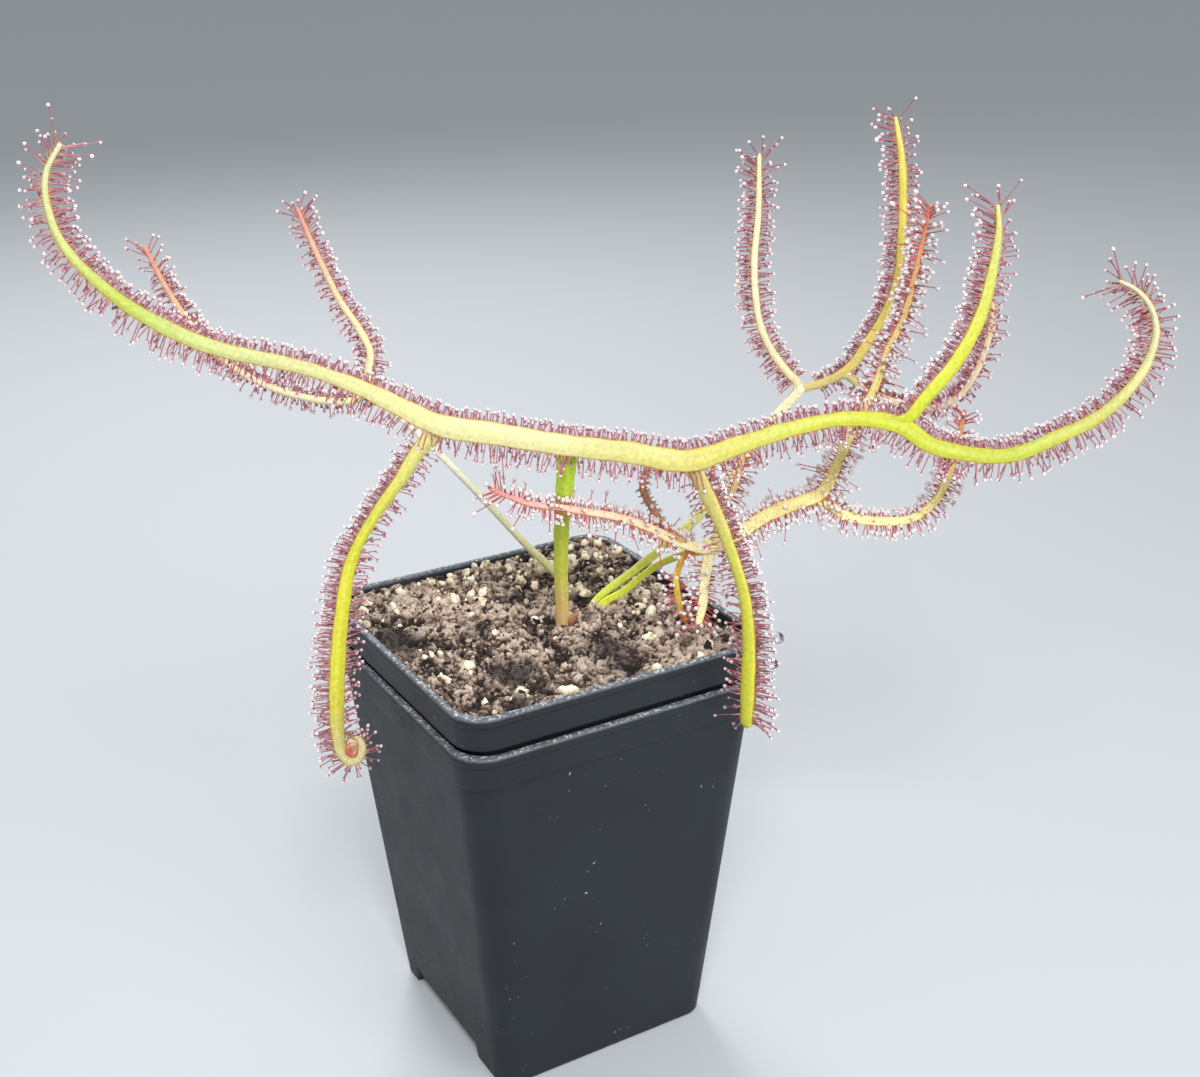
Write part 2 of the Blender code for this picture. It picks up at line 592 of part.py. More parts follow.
def grain(centre, radius):
    """A small lump: a squashed, knocked-about low ball."""
    turn = np.arange(5) * 2 * math.pi / 5
    rings = []
    for level, share in ((-0.9, 0.45), (-0.3, 1.0), (0.5, 0.85), (0.95, 0.35)):
        knocked = share * radius * rng.uniform(0.8, 1.15, 5)
        ring = np.stack([np.cos(turn + level) * knocked, np.sin(turn + level) * knocked,
                         np.full(5, level * 0.8 * radius)], -1)
        rings.append(ring + centre)
    return solid("grain", *stacked(rings))


soil_mat = material("potting_soil", "6E5B4C", 0.95)
soil = soil_body(soil_mat)
stalk_feet = [to_row(specs[0]["points"][1])[:2] for specs in LEAVES.values()]
grains = []
spots = []
while len(grains) < PERLITE:
    spot = rng.uniform(-1, 1, 2) * (POT_SIDE / 2 - 5 * MM)
    size = PERLITE_SIZE * rng.uniform(0.75, 1.25)
    crowded = any(np.linalg.norm(spot - s) < 3.4 * MM for s in spots)
    at_stalk = any(np.linalg.norm(spot - f) < 4.5 * MM for f in stalk_feet)
    if crowded or at_stalk:
        continue
    spots.append(spot)
    grains.append(grain((*spot, float(soil_height(*spot)) + 0.2 * size), size))
combine(soil, grains, "UNION", "MANIFOLD")
hollows = [blade(group[0], grow=GAP) for group in arms.values()]
hollows += [sill(side, STACK_RISE, NEST_EASE, GAP) for side in (-1, 1)]
combine(soil, hollows, "DIFFERENCE", "MANIFOLD")
largest_piece(soil)
smooth(soil, 30)
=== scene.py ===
"""Forked sundew in two nested square nursery pots: the visible surfaces, in assembly order."""
import math

import bpy
import numpy as np
from mathutils import Matrix


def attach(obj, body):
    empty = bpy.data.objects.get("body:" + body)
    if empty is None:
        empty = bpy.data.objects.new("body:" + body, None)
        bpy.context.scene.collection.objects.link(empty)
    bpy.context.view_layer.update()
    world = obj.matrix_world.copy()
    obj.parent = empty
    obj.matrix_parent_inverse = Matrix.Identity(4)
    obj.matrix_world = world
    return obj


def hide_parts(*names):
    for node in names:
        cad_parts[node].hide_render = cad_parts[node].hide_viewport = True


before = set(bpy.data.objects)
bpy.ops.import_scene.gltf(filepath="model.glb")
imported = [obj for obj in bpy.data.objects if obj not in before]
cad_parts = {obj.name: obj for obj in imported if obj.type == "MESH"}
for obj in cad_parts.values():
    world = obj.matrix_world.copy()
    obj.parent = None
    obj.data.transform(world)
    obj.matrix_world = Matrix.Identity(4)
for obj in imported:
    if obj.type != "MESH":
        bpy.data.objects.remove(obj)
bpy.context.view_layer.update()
MM = 0.001

# The outer pot: a thin-walled square nursery pot of black polypropylene, injection moulded in one
# piece, with a collar, a narrow lip, rounded corners and a low drainage arch in two bottom edges.
# It stands on its flat base and carries everything else.
POT_SIDE = 70.0 * MM
POT_HEIGHT = 85.6 * MM
POT_FOOT = 51.4 * MM
COLLAR = 7.2 * MM
LIP = 2.0 * MM
LIP_OUT = 0.6 * MM
STEP_IN = 1.1 * MM
WALL = 0.9 * MM
RIM_WIDTH = 1.6 * MM
FLOOR = 1.2 * MM
CORNER_TOP = 7.0 * MM
CORNER_FOOT = 5.0 * MM
ARCH_HEIGHT = 3.0 * MM
ARCH_DEPTH = 3.2 * MM
ARCH_SPAN = (-14.0 * MM, 17.0 * MM)


def linear(code):
    """Linear RGB of an sRGB hex colour."""
    srgb = np.array([int(code[i:i + 2], 16) / 255 for i in (0, 2, 4)])
    return np.where(srgb <= 0.04045, srgb / 12.92, ((srgb + 0.055) / 1.055) ** 2.4)


def add(tree, kind, inputs, out=0, stops=(), **settings):
    """Add a node: its settings, a ramp's stops as (position, hex colour or grey level), and its
    inputs, each linked from a socket or given a value or hex colour. Returns one output."""
    made = tree.nodes.new("ShaderNode" + kind)
    for key, value in settings.items():
        setattr(made, key, value)
    band = made.color_ramp.elements if stops else ()
    while len(band) < len(stops):
        band.new(0.5)
    for element, (position, colour) in zip(band, stops):
        element.position = position
        element.color = (*(linear(colour) if isinstance(colour, str) else (colour,) * 3), 1.0)
    for key, value in inputs.items():
        if isinstance(value, bpy.types.NodeSocket):
            tree.links.new(value, made.inputs[key])
        else:
            colour = isinstance(value, str)
            made.inputs[key].default_value = (*linear(value), 1.0) if colour else value
    return made.outputs[out]


def new_material(name, **principled):
    """An empty Principled material; returns it with its tree and shader."""
    mat = bpy.data.materials.new(name)
    mat.use_nodes = True
    shader = mat.node_tree.nodes["Principled BSDF"]
    for key, value in principled.items():
        shader.inputs[key.replace("_", " ")].default_value = value
    return mat, mat.node_tree, shader


def mottling(tree, size, detail=2.0, roughness=0.5, stops=()):
    """Cloudy pattern in the row frame, its features about size metres across, run through
    colour or grey stops where they are given."""
    point = add(tree, "TexCoord", {}, "Object")
    noise = add(tree, "TexNoise", {"Vector": point, "Scale": 1 / size, "Detail": detail,
                                   "Roughness": roughness})
    return add(tree, "ValToRGB", {"Fac": noise}, stops=stops) if stops else noise


def roughen(tree, shader, depth, strength, *pattern):
    """Bump the shader's surface, to a depth in metres, with mottling."""
    normal = add(tree, "Bump", {"Height": mottling(tree, *pattern), "Distance": depth,
                                "Strength": strength})
    tree.links.new(normal, shader.inputs["Normal"])


def mesh_object(name, verts, quads, tris=None, flat=False, **attributes):
    """An object from point and face arrays, with per-point attributes."""
    faces = [tuple(f) for f in np.asarray(quads).reshape(-1, 4).tolist()]
    if tris is not None:
        faces += [tuple(f) for f in np.asarray(tris).reshape(-1, 3).tolist()]
    mesh = bpy.data.meshes.new(name)
    mesh.from_pydata(np.asarray(verts, float).tolist(), [], faces)
    for key, values in attributes.items():
        values = np.asarray(values, np.float32)
        if values.ndim == 1:
            mesh.attributes.new(key, "FLOAT", "POINT").data.foreach_set("value", values)
        else:
            layer = mesh.attributes.new(key, "FLOAT_COLOR", "POINT")
            layer.data.foreach_set("color", values.ravel())
    if flat:
        mesh.shade_flat()
    else:
        mesh.shade_smooth()
    obj = bpy.data.objects.new(name, mesh)
    bpy.context.scene.collection.objects.link(obj)
    return obj


def wrap_faces(rows, count):
    """Quads of a tube grid: rows rings of count points, closed round."""
    i = np.arange(count)
    ring = np.stack([i, (i + 1) % count, (i + 1) % count + count, i + count], -1)
    return (ring[None] + (np.arange(rows - 1) * count)[:, None, None]).reshape(-1, 4)


def fan(ring, pole):
    """Triangles from a ring of point numbers to a pole."""
    return np.stack([np.roll(ring, -1), ring, np.full_like(ring, pole)], -1)


def square_ring(half, radius, count):
    """Points at equal steps round a square with rounded corners: each quarter of a circle is
    pushed out to its corner, and the straight sides join them."""
    turn = np.linspace(0, 2 * math.pi, 129)[:-1] + math.pi / 128
    quarter = np.floor(turn / (math.pi / 2)) * math.pi / 2 + math.pi / 4
    x = (half - radius) * np.sign(np.cos(quarter)) + radius * np.cos(turn)
    y = (half - radius) * np.sign(np.sin(quarter)) + radius * np.sin(turn)
    ring = np.stack([np.append(x, x[0]), np.append(y, y[0])], -1)
    run = np.concatenate([[0], np.cumsum(np.linalg.norm(np.diff(ring, axis=0), axis=1))])
    even = np.arange(count) * run[-1] / count
    return np.stack([np.interp(even, run, ring[:, 0]), np.interp(even, run, ring[:, 1])], -1)


def body_half(z):
    """Half the width of a pot's body at a height above its own underside."""
    top = POT_SIDE / 2 - LIP_OUT - STEP_IN
    return POT_FOOT / 2 + (top - POT_FOOT / 2) * z / (POT_HEIGHT - COLLAR)


def pot(name, lift, ease):
    """A profile of half width, height and arched or not, carried round a rounded square: under
    the base, up the outside with step, collar and lip, over the rim, down the inside and across
    the floor. The arched rows rise along the arch on the two X sides, with a smooth s(3 - 2s)s."""
    shoulder = POT_HEIGHT - COLLAR
    collar = POT_SIDE / 2 - LIP_OUT
    lip = POT_SIDE / 2
    mouth = lip - RIM_WIDTH
    foot = POT_FOOT / 2 - ease
    soft = 0.35 * MM
    top = POT_HEIGHT
    under = foot - ARCH_DEPTH
    inside = FLOOR + 3.5 * MM
    profile = [(under * 0.5, 0, 0), (under - soft, 0, 0), (under, 0, 0), (under, soft, 1),
               (under + soft, soft, 1), (foot - 2 * soft, 0, 1), (foot - soft, 0.1 * soft, 1),
               (foot, soft, 1), (foot + 0.1 * soft, 3 * soft, 1),
               (body_half(5 * MM) - ease, 5 * MM, 0)]
    profile += [(body_half(z) - ease, z, 0) for z in np.linspace(8 * MM, shoulder - soft, 16)]
    profile += [(body_half(shoulder) - ease, shoulder - 0.2 * soft, 0),
                (collar - 1.2 * soft, shoulder, 0), (collar - 0.3 * soft, shoulder + 0.3 * soft, 0),
                (collar, shoulder + 1.2 * soft, 0), (collar, top - LIP - 1.2 * soft, 0),
                (collar + 0.2 * soft, top - LIP - 0.3 * soft, 0), (lip - soft, top - LIP, 0),
                (lip - 0.2 * soft, top - LIP + 0.3 * soft, 0), (lip, top - LIP + 1.2 * soft, 0),
                (lip, top - 1.4 * soft, 0), (lip - 0.35 * soft, top - 0.4 * soft, 0),
                (lip - 1.4 * soft, top, 0), (mouth + 1.4 * soft, top, 0),
                (mouth + 0.35 * soft, top - 0.4 * soft, 0), (mouth, top - 1.4 * soft, 0),
                (mouth, shoulder + WALL + soft, 0),
                (body_half(shoulder) - ease - WALL, shoulder + WALL, 0)]
    profile += [(body_half(z) - ease - WALL, z, 0)
                for z in np.linspace(shoulder - 4 * MM, FLOOR + 4 * MM, 6)]
    profile += [(body_half(FLOOR) - ease - WALL, inside, 0), (under * 0.5, inside, 0)]
    count = 260
    rings = []
    for half, z, arched in profile:
        share = z / POT_HEIGHT
        inset = max(body_half(min(z, shoulder)) - half, 0.0)
        radius = CORNER_FOOT + (CORNER_TOP - CORNER_FOOT) * share - 0.7 * min(inset, 3 * MM)
        ring = square_ring(half, max(radius, 0.15 * half), count)
        height = np.full(count, z)
        if arched:
            side = np.abs(ring[:, 0]) > half - 0.05 * MM
            slope = 0.8 * MM
            rise = np.clip((ring[:, 1] - ARCH_SPAN[0]) / (1.5 * slope), 0, 1)
            rise = np.minimum(rise, np.clip((ARCH_SPAN[1] - ring[:, 1]) / slope, 0, 1))
            height = height + np.where(side, rise * rise * (3 - 2 * rise), 0) * ARCH_HEIGHT
        rings.append(np.column_stack([ring, height + lift]))
    verts = np.concatenate(rings)
    poles = np.array([(0, 0, lift), (0, 0, lift + inside)])
    total = len(verts)
    first = np.arange(count)
    last = first + total - count
    tris = np.concatenate([fan(first, total), fan(last[::-1], total + 1)])
    return mesh_object(name, np.concatenate([verts, poles]), wrap_faces(len(profile), count), tris)


def pot_plastic(name, colour, rim_height):
    """Black polypropylene, satin and finely grained. Dust specks about 0.4 mm, clouds about 25 mm;
    the lip's top is greyer, crowded with dried water spots painted pale as glints of light, and a
    patchy painted highlight lies along its upper edge."""
    mat, tree, shader = new_material(name, IOR=1.49, Specular_IOR_Level=0.38)
    base = mottling(tree, 25 * MM, stops=[(0.35, colour), (0.65, "1A2027")])
    specks = mottling(tree, 0.8 * MM, 1, stops=[(0.76, 0.0), (0.785, 1.0)])
    patchy = mottling(tree, 9 * MM, stops=[(0.52, 0.0), (0.62, 1.0)])
    dust = add(tree, "Math", {0: specks, 1: patchy}, operation="MULTIPLY")
    z = add(tree, "SeparateXYZ", {"Vector": add(tree, "TexCoord", {}, "Object")}, "Z")
    on_top = add(tree, "MapRange", {"Value": z, "From Min": rim_height - 0.25 * MM,
                                    "From Max": rim_height - 0.05 * MM})
    # Painted highlight: the top 0.75 mm of the pot, along the lip's upper edge, is lightened in
    # patches towards pale grey.
    edge = add(tree, "MapRange", {"Value": z, "From Min": rim_height - 0.75 * MM,
                                  "From Max": rim_height - 0.3 * MM})
    highlight_patches = mottling(tree, 1.3 * MM, 4, 0.7, [(0.35, 0.35), (0.65, 1.0)])
    painted_edge_highlight = add(tree, "Math", {0: edge, 1: highlight_patches}, operation="MULTIPLY")
    with_painted_highlight = add(tree, "MixRGB", {"Fac": painted_edge_highlight, "Color1": base, "Color2": "6A7076"})
    # The pale spots on the lip's top are dried water spots, painted pale as glints of light on
    # them; the specks elsewhere are dust.
    spots = mottling(tree, 0.7 * MM, 2, 0.6, [(0.53, 0.0), (0.62, 1.0)])
    spots = add(tree, "Math", {0: spots, 1: on_top}, operation="MULTIPLY")
    spots = add(tree, "Math", {0: spots, 1: dust}, operation="MAXIMUM")
    final = add(tree, "MixRGB", {"Fac": spots, "Color1": with_painted_highlight, "Color2": "B4BABF"})
    tree.links.new(final, shader.inputs["Base Color"])
    sheen = mottling(tree, 8 * MM, 3, stops=[(0.3, 0.48), (0.7, 0.56)])
    tree.links.new(sheen, shader.inputs["Roughness"])
    roughen(tree, shader, 0.02 * MM, 0.4, 0.3 * MM)
    return mat


outer = pot("outer_pot_shell", 0.0, 0.0)
outer.data.materials.append(pot_plastic("pot_plastic_look", "151A20", POT_HEIGHT))
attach(outer, "root")
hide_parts("outer_pot")

# The inner pot: the same moulding, dropped into the outer one until its taper wedges, so that
# its collar stands 8.4 mm higher and a dark slot stays open between the two lips.
STACK_RISE = 8.4 * MM
NEST_EASE = 0.5 * MM
RIM = STACK_RISE + POT_HEIGHT

inner = pot("inner_pot_shell", STACK_RISE, NEST_EASE)
inner.data.materials.append(pot_plastic("pot_plastic_inner_look", "15191D", RIM))
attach(inner, "root")
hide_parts("inner_pot")

# The soil: damp brown peat, filled in by hand to just under the rim and heaped over it at the back
# corner and along the left side. It is broken into flat clods, and the hollows between them are
# painted dark as shade.
SOIL_TOP = 91.2 * MM
SOIL_HEAP = 1.5 * MM
BACK_MOUND = 1.9 * MM
LEFT_BANK = 1.5 * MM
WAVE = 0.315 * MM
FLAT_RIM = 6 * MM
# Layers of clods: width and depth in millimetres, and seed.
CLOD_LAYERS = ((5.2, 0.5, 1), (2.7, 0.6, 2), (1.5, 0.7, 3), (0.8, 0.45, 4))
# Hollows, painted dark as shade, and two dark fibrous clods (negative depth): x, y, radius, depth
# in millimetres.
PITS = ((-14, -14, 4.2, 2.6), (-28, 9, 4.4, 2.4), (14, 7.5, 2.6, 2.0), (-19, -26, 3.0, 1.5),
        (6, -25, 3.4, 1.6), (1, 14, 2.6, 1.3), (-12, 6, 2.2, 1.2), (7, -16, 5.2, -1.4),
        (-29, 14, 3.4, -1.2), (22, -22, 2.4, 0.7))
PIT_DARK_FULL = 1.3 * MM


def lattice(x, y, size, seed):
    """Smooth waves in 0..1: a random value at each corner of square cells of the given size,
    blended across a cell with s(3 - 2s)s."""
    table = np.random.default_rng(seed).random((64, 64))
    u, v = x / size + 31.3, y / size + 17.7
    i, j = np.floor(u).astype(int), np.floor(v).astype(int)
    s, t = u - i, v - j
    s, t = s * s * (3 - 2 * s), t * t * (3 - 2 * t)
    i, j, k, m = i % 64, j % 64, (i + 1) % 64, (j + 1) % 64
    return ((table[i, j] * (1 - s) + table[k, j] * s) * (1 - t)
            + (table[i, m] * (1 - s) + table[k, m] * s) * t)


def flakes(x, y, size, depth, seed):
    """Broken crumbs: cells round scattered centres, each a flat plate with its own height and
    tilt, and a crack half as deep along every border between two plates."""
    draw = np.random.default_rng(seed).random((64, 64, 5)) - 0.5
    i, j = np.floor(x / size).astype(int), np.floor(y / size).astype(int)
    nearest = np.full(np.shape(x), 9.0)
    second = np.full(np.shape(x), 9.0)
    height = np.zeros(np.shape(x))
    for di in (-1, 0, 1):
        for dj in (-1, 0, 1):
            cell = draw[(i + di) % 64, (j + dj) % 64]
            dx = x / size - (i + di + 0.5 + cell[..., 0])
            dy = y / size - (j + dj + 0.5 + cell[..., 1])
            plate = cell[..., 2] + 1.1 * (cell[..., 3] * dx + cell[..., 4] * dy)
            far = np.hypot(dx, dy)
            height = np.where(far < nearest, plate, height)
            second = np.minimum(second, np.maximum(far, nearest))
            nearest = np.minimum(far, nearest)
    crack = np.clip(1 - (second - nearest) / 0.3, 0, 1)
    return (height - 0.5 * crack) * depth


def relief(x, y):
    """Heights of the clods, the sum of flakes from 5 mm across down to 0.8 mm and of slow waves;
    depths of the hollows, a bell curve round each pit; and how much painted shade darkens each
    hollow, a mask that also marks the dark clods."""
    warp = (lattice(x, y, 2.2 * MM, 21) - 0.5) * 1.3 * MM
    rough = sum(flakes(x + warp, y - warp, size * MM, depth * MM, seed)
                for size, depth, seed in CLOD_LAYERS)
    rough = rough + (lattice(x, y, 5 * MM, 5) - 0.5) * 1.0 * MM
    dips, damp = 0.0, 0.0
    for px, py, radius, depth in PITS:
        far = np.hypot(x - px * MM, y - py * MM) / (radius * MM)
        dips = dips - depth * MM * np.exp(-(far / 0.6) ** 2)
        damp = damp + np.abs(depth) * MM * np.exp(-far ** 2)
    return rough, dips, damp


def soil_height(x, y):
    """The heap with long sine waves as in the solid, higher at the back corner and along the left
    rim, and the relief on it, flatter close to the rim."""
    half = POT_SIDE / 2
    towards_back = (x + y) / (2 * half)
    heap = SOIL_HEAP * np.clip(towards_back, -0.6, 1.0)
    heap = heap + BACK_MOUND * np.clip((towards_back - 0.5) / 0.3, 0, 1) ** 2
    heap = heap + LEFT_BANK * np.clip(y / half, 0, 1) ** 3 * np.clip(0.8 - x / half, 0, 1)
    wave = (np.sin(x * 520 + 1.3) * np.sin(y * 610 + 0.4) + 0.7 * np.sin(x * 930 - y * 410)
            + 0.6 * np.sin(x * 350 + y * 1010 + 2.1))
    edge = np.clip((half - np.maximum(np.abs(x), np.abs(y))) / FLAT_RIM, 0, 1)
    rough, dips, _ = relief(x, y)
    return SOIL_TOP + heap + (WAVE * wave + rough + dips) * (0.35 + 0.65 * edge)


def soil_body(name):
    """Rings of the pot's rounded square shrunk towards the middle, over straight sides. Their
    colour level is painted shade that follows the relief, and a second mask paints shade in the
    hollows and marks the dark clods."""
    count, levels = 600, 150
    mouth = POT_SIDE / 2 - RIM_WIDTH - 0.1 * MM
    low = square_ring(POT_FOOT / 2, CORNER_FOOT, count)
    edge = square_ring(mouth, CORNER_TOP, count)
    bottom = STACK_RISE + 5 * MM
    rings = [np.column_stack([low * 0.93, np.full(count, bottom)]),
             np.column_stack([edge * 0.94, np.full(count, SOIL_TOP - 6 * MM)])]
    for share in np.linspace(1, 1 / levels, levels):
        flat = edge * share
        rings.append(np.column_stack([flat, soil_height(flat[:, 0], flat[:, 1])]))
    verts = np.concatenate(rings)
    middle = soil_height(np.zeros(1), np.zeros(1))[0]
    poles = np.array([(0, 0, bottom), (0, 0, middle)])
    total = len(verts)
    first = np.arange(count)
    tris = np.concatenate([fan(first, total), fan(first[::-1] + total - count, total + 1)])
    verts = np.concatenate([verts, poles])
    # Painted shade: the colour level rises with the relief, lighter on the clods' tops and darker
    # down between them.
    rough, _, damp = relief(verts[:, 0], verts[:, 1])
    return mesh_object(name, verts, wrap_faces(len(rings), count), tris, flat=True,
                       tone=np.clip(0.76 + rough / (1.3 * MM), 0, 1),
                       damp=np.clip(damp / PIT_DARK_FULL, 0, 1))


def peat(name):
    """Damp peat, matt: dry pinkish tan on the clods' tops, near black down between them, where the
    dark is painted shade. Patches about 7 mm, crumbs about 1.5 and 0.6 mm, fibre grain about 0.5
    mm."""
    mat, tree, shader = new_material(name, Roughness=0.88)
    point = add(tree, "TexCoord", {}, "Object")
    crumb = add(tree, "TexVoronoi", {"Vector": point, "Scale": 1 / (1.5 * MM)}, "Color")
    small = add(tree, "TexVoronoi", {"Vector": point, "Scale": 1 / (0.6 * MM)}, "Color")
    grain = mottling(tree, 0.5 * MM, 4, 0.75)
    # Painted shade: on the soil the tone attribute is lighter on high relief and darker low down.
    # On the crumbs it is a random tone.
    tone = add(tree, "Attribute", {}, "Fac", attribute_name="tone")
    mixed = mottling(tree, 7 * MM, 4, 0.6)
    for share, layer in ((0.42, crumb), (0.36, small), (0.35, grain), (0.46, tone)):
        mixed = add(tree, "MixRGB", {"Fac": share, "Color1": mixed, "Color2": layer})
    level = add(tree, "SeparateColor", {"Color": mixed}, "Red")
    colour = add(tree, "ValToRGB", {"Fac": level}, stops=[
        (0.3, "1C1512"), (0.4, "463730"), (0.49, "7E6A5C"), (0.58, "A59182"), (0.72, "CDBBAA")])
    # Painted shade: the soil is darkened towards near black in and around the hollows; on the two
    # raised clods the same mask gives their own dark colour.
    damp = add(tree, "Attribute", {}, "Fac", attribute_name="damp")
    pit_darkening = add(tree, "Math", {0: damp, 1: 0.86}, operation="MULTIPLY")
    colour = add(tree, "MixRGB", {"Fac": pit_darkening, "Color1": colour, "Color2": "1A1616"})
    tree.links.new(colour, shader.inputs["Base Color"])
    roughen(tree, shader, 0.16 * MM, 0.8, 0.45 * MM, 5, 0.7)
    return mat


peat_mat = peat("peat_look")
soil = soil_body("soil_surface")
soil.data.materials.append(peat_mat)
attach(soil, "root")
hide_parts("soil")

# Loose crumbs: bits of the same peat, mostly under 1 mm, left lying on top where the pot was
# filled. Only the damp holds them.
CRUMBS = 2600
rng = np.random.default_rng(11)


def ball(rings=5, around=8):
    """Unit ball of rings of latitude, as points, quads and triangles, with both poles closed."""
    lat = np.linspace(-math.pi / 2, math.pi / 2, rings + 2)[1:-1]
    lon = np.arange(around) * 2 * math.pi / around
    grid = np.stack([np.cos(lat)[:, None] * np.cos(lon), np.cos(lat)[:, None] * np.sin(lon),
                     np.repeat(np.sin(lat)[:, None], around, 1)], -1).reshape(-1, 3)
    verts = np.concatenate([grid, [(0, 0, -1), (0, 0, 1)]])
    total = rings * around
    first = np.arange(around)
    tris = np.concatenate([fan(first, total), fan(first[::-1] + total - around, total + 1)])
    return verts, wrap_faces(rings, around), tris


def repeat_faces(faces, count, points):
    """The faces of one shape repeated for count copies of that many points."""
    return (faces[None] + (np.arange(count) * points)[:, None, None]).reshape(-1, faces.shape[1])


def random_turns(count):
    """Random rotation matrices, from four normal numbers scaled to a unit quaternion."""
    q = rng.normal(size=(count, 4))
    w, x, y, z = (q / np.linalg.norm(q, axis=1, keepdims=True)).T
    rows = [[1 - 2 * (y * y + z * z), 2 * (x * y - z * w), 2 * (x * z + y * w)],
            [2 * (x * y + z * w), 1 - 2 * (x * x + z * z), 2 * (y * z - x * w)],
            [2 * (x * z - y * w), 2 * (y * z + x * w), 1 - 2 * (x * x + y * y)]]
    return np.array(rows).transpose(2, 0, 1)


def lumps(name, spots, sizes, squash, sink, knock, form, flat=False):
    """Balls lying on the soil at the spots: each point is knocked in or out by a random share,
    the ball squashed along its own axes and turned at random, and sunk by a share of its size."""
    verts, quads, tris = form
    count = len(spots)
    knocks = 1 + knock * rng.uniform(-1, 1, (count, len(verts), 1))
    shape = verts[None] * knocks * np.asarray(squash)
    shape = np.einsum("nij,nvj->nvi", random_turns(count), shape) * sizes[:, None, None]
    z = soil_height(spots[:, 0], spots[:, 1]) + sizes * (1 - sink)
    shape += np.column_stack([spots, z])[:, None]
    tone = np.repeat(rng.random(count), len(verts))
    # Crumbs lying in a hollow take its painted shade, crumbs on a dark clod its dark colour.
    damp = np.clip(relief(spots[:, 0], spots[:, 1])[2] / PIT_DARK_FULL, 0, 1)
    return mesh_object(name, shape.reshape(-1, 3), repeat_faces(quads, count, len(verts)),
                       repeat_faces(tris, count, len(verts)), flat=flat, tone=tone,
                       damp=np.repeat(damp, len(verts)))


def scatter(count, margin):
    """Random spots on the soil, at least margin inside the rim."""
    return rng.uniform(-1, 1, (count, 2)) * (POT_SIDE / 2 - RIM_WIDTH - margin)


crumb_spots = scatter(CRUMBS, 1.0 * MM)
crumbs = lumps("soil_crumbs", crumb_spots, rng.gamma(4, 0.1 * MM, CRUMBS), (1.2, 0.8, 0.5), 0.7,
               0.35, ball(2, 5), flat=True)
crumbs.data.materials.append(peat_mat)
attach(crumbs, "root")

# The perlite: cream grains of volcanic glass, puffed up by heat, up to 3 mm across. They are
# mixed into the peat and lie on it in heaps and singly, partly sunk.
# Each heap: x, y and spread in millimetres, and number of grains.
PERLITE_HEAPS = ((-2, 30, 2.5, 16), (-4, 21, 2.0, 12), (3, 32, 1.6, 8), (12, 30, 2.5, 13),
                 (7, 24, 1.8, 10), (13, 24, 1.4, 7), (23, 25, 2.4, 14), (16, 12, 1.7, 11),
                 (14, 5, 0.9, 4), (29, 28, 2.6, 12), (29, 20, 2.0, 11), (24, 4, 1.9, 13),
                 (30, 4, 1.9, 12), (23, -3, 2.2, 12), (17, -16, 1.0, 5), (-26, -9, 1.3, 5),
                 (-21, -9, 0.9, 3), (-17, -24, 1.6, 5), (-10, -27, 1.4, 3), (-20, 29, 3.6, 9),
                 (-27, 24, 3.4, 8), (-10, 27, 3.0, 8), (28, -10, 2.5, 8), (-24, 2, 1.5, 3))
STRAY_GRAINS = 36


def perlite_look(name):
    """Expanded perlite: chalky cream glass foam, stained by the peat, pitted every 0.3 mm."""
    mat, tree, shader = new_material(
        name, Roughness=0.8, Subsurface_Weight=0.1, Subsurface_Scale=1.0,
        Subsurface_Radius=(0.6 * MM, 0.5 * MM, 0.4 * MM))
    colour = mottling(tree, 1.4 * MM, 4, 0.6, [(0.3, "9C8464"), (0.4, "DCCAA4"), (0.5, "F4E8CC"),
                                               (0.7, "FBF6EA")])
    tree.links.new(colour, shader.inputs["Base Color"])
    roughen(tree, shader, 0.12 * MM, 0.8, 0.3 * MM, 3)
    return mat


heaped = [rng.normal(0, spread, (number, 2)) + (x, y) for x, y, spread, number in PERLITE_HEAPS]
perlite_spots = np.concatenate(heaped + [scatter(STRAY_GRAINS, 1.5 * MM) / MM]) * MM
inside = np.abs(perlite_spots).max(axis=1) < POT_SIDE / 2 - RIM_WIDTH - 1.2 * MM
perlite_spots = perlite_spots[inside]
perlite = lumps("perlite_grains", perlite_spots, rng.gamma(4, 0.18 * MM, len(perlite_spots)),
                (1.15, 0.9, 0.65), 0.4, 0.25, ball(4, 7))
perlite.data.materials.append(perlite_look("perlite_look"))
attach(perlite, "root")

# The front leaf: one living leaf grown from the middle of the soil. A stout lime stalk carries a
# broad beam that forks on both sides into ribbon arms; their smooth side faces the viewer and red
# glands with clear drops of glue stand on the other side and along both margins.
LEAF_TURN = math.radians(-30.4)
AWAY = (0.0, 1.0, 0.25)
TOWARDS = (0.0, -0.8, 0.6)
RING_STEP = 0.8 * MM
BLADE_POINTS = 18
MARGIN = "CBA044"


def to_row(points):
    """Leaf points in millimetres, turned into the pot's frame, in metres."""
    p = np.asarray(points, float) * MM
    c, s = math.cos(LEAF_TURN), math.sin(LEAF_TURN)
    return np.stack([c * p[..., 0] - s * p[..., 1], s * p[..., 0] + c * p[..., 1], p[..., 2]], -1)


def unit(v):
    """Vectors scaled to length 1."""
    return v / np.linalg.norm(v, axis=-1, keepdims=True)


def blend_colours(codes, share):
    """Linear RGB at shares of the way through a list of hex colours."""
    stops = np.array([linear(c) for c in codes])
    at = np.linspace(0, 1, len(stops))
    return np.stack([np.interp(share, at, stops[:, i]) for i in range(3)], -1)


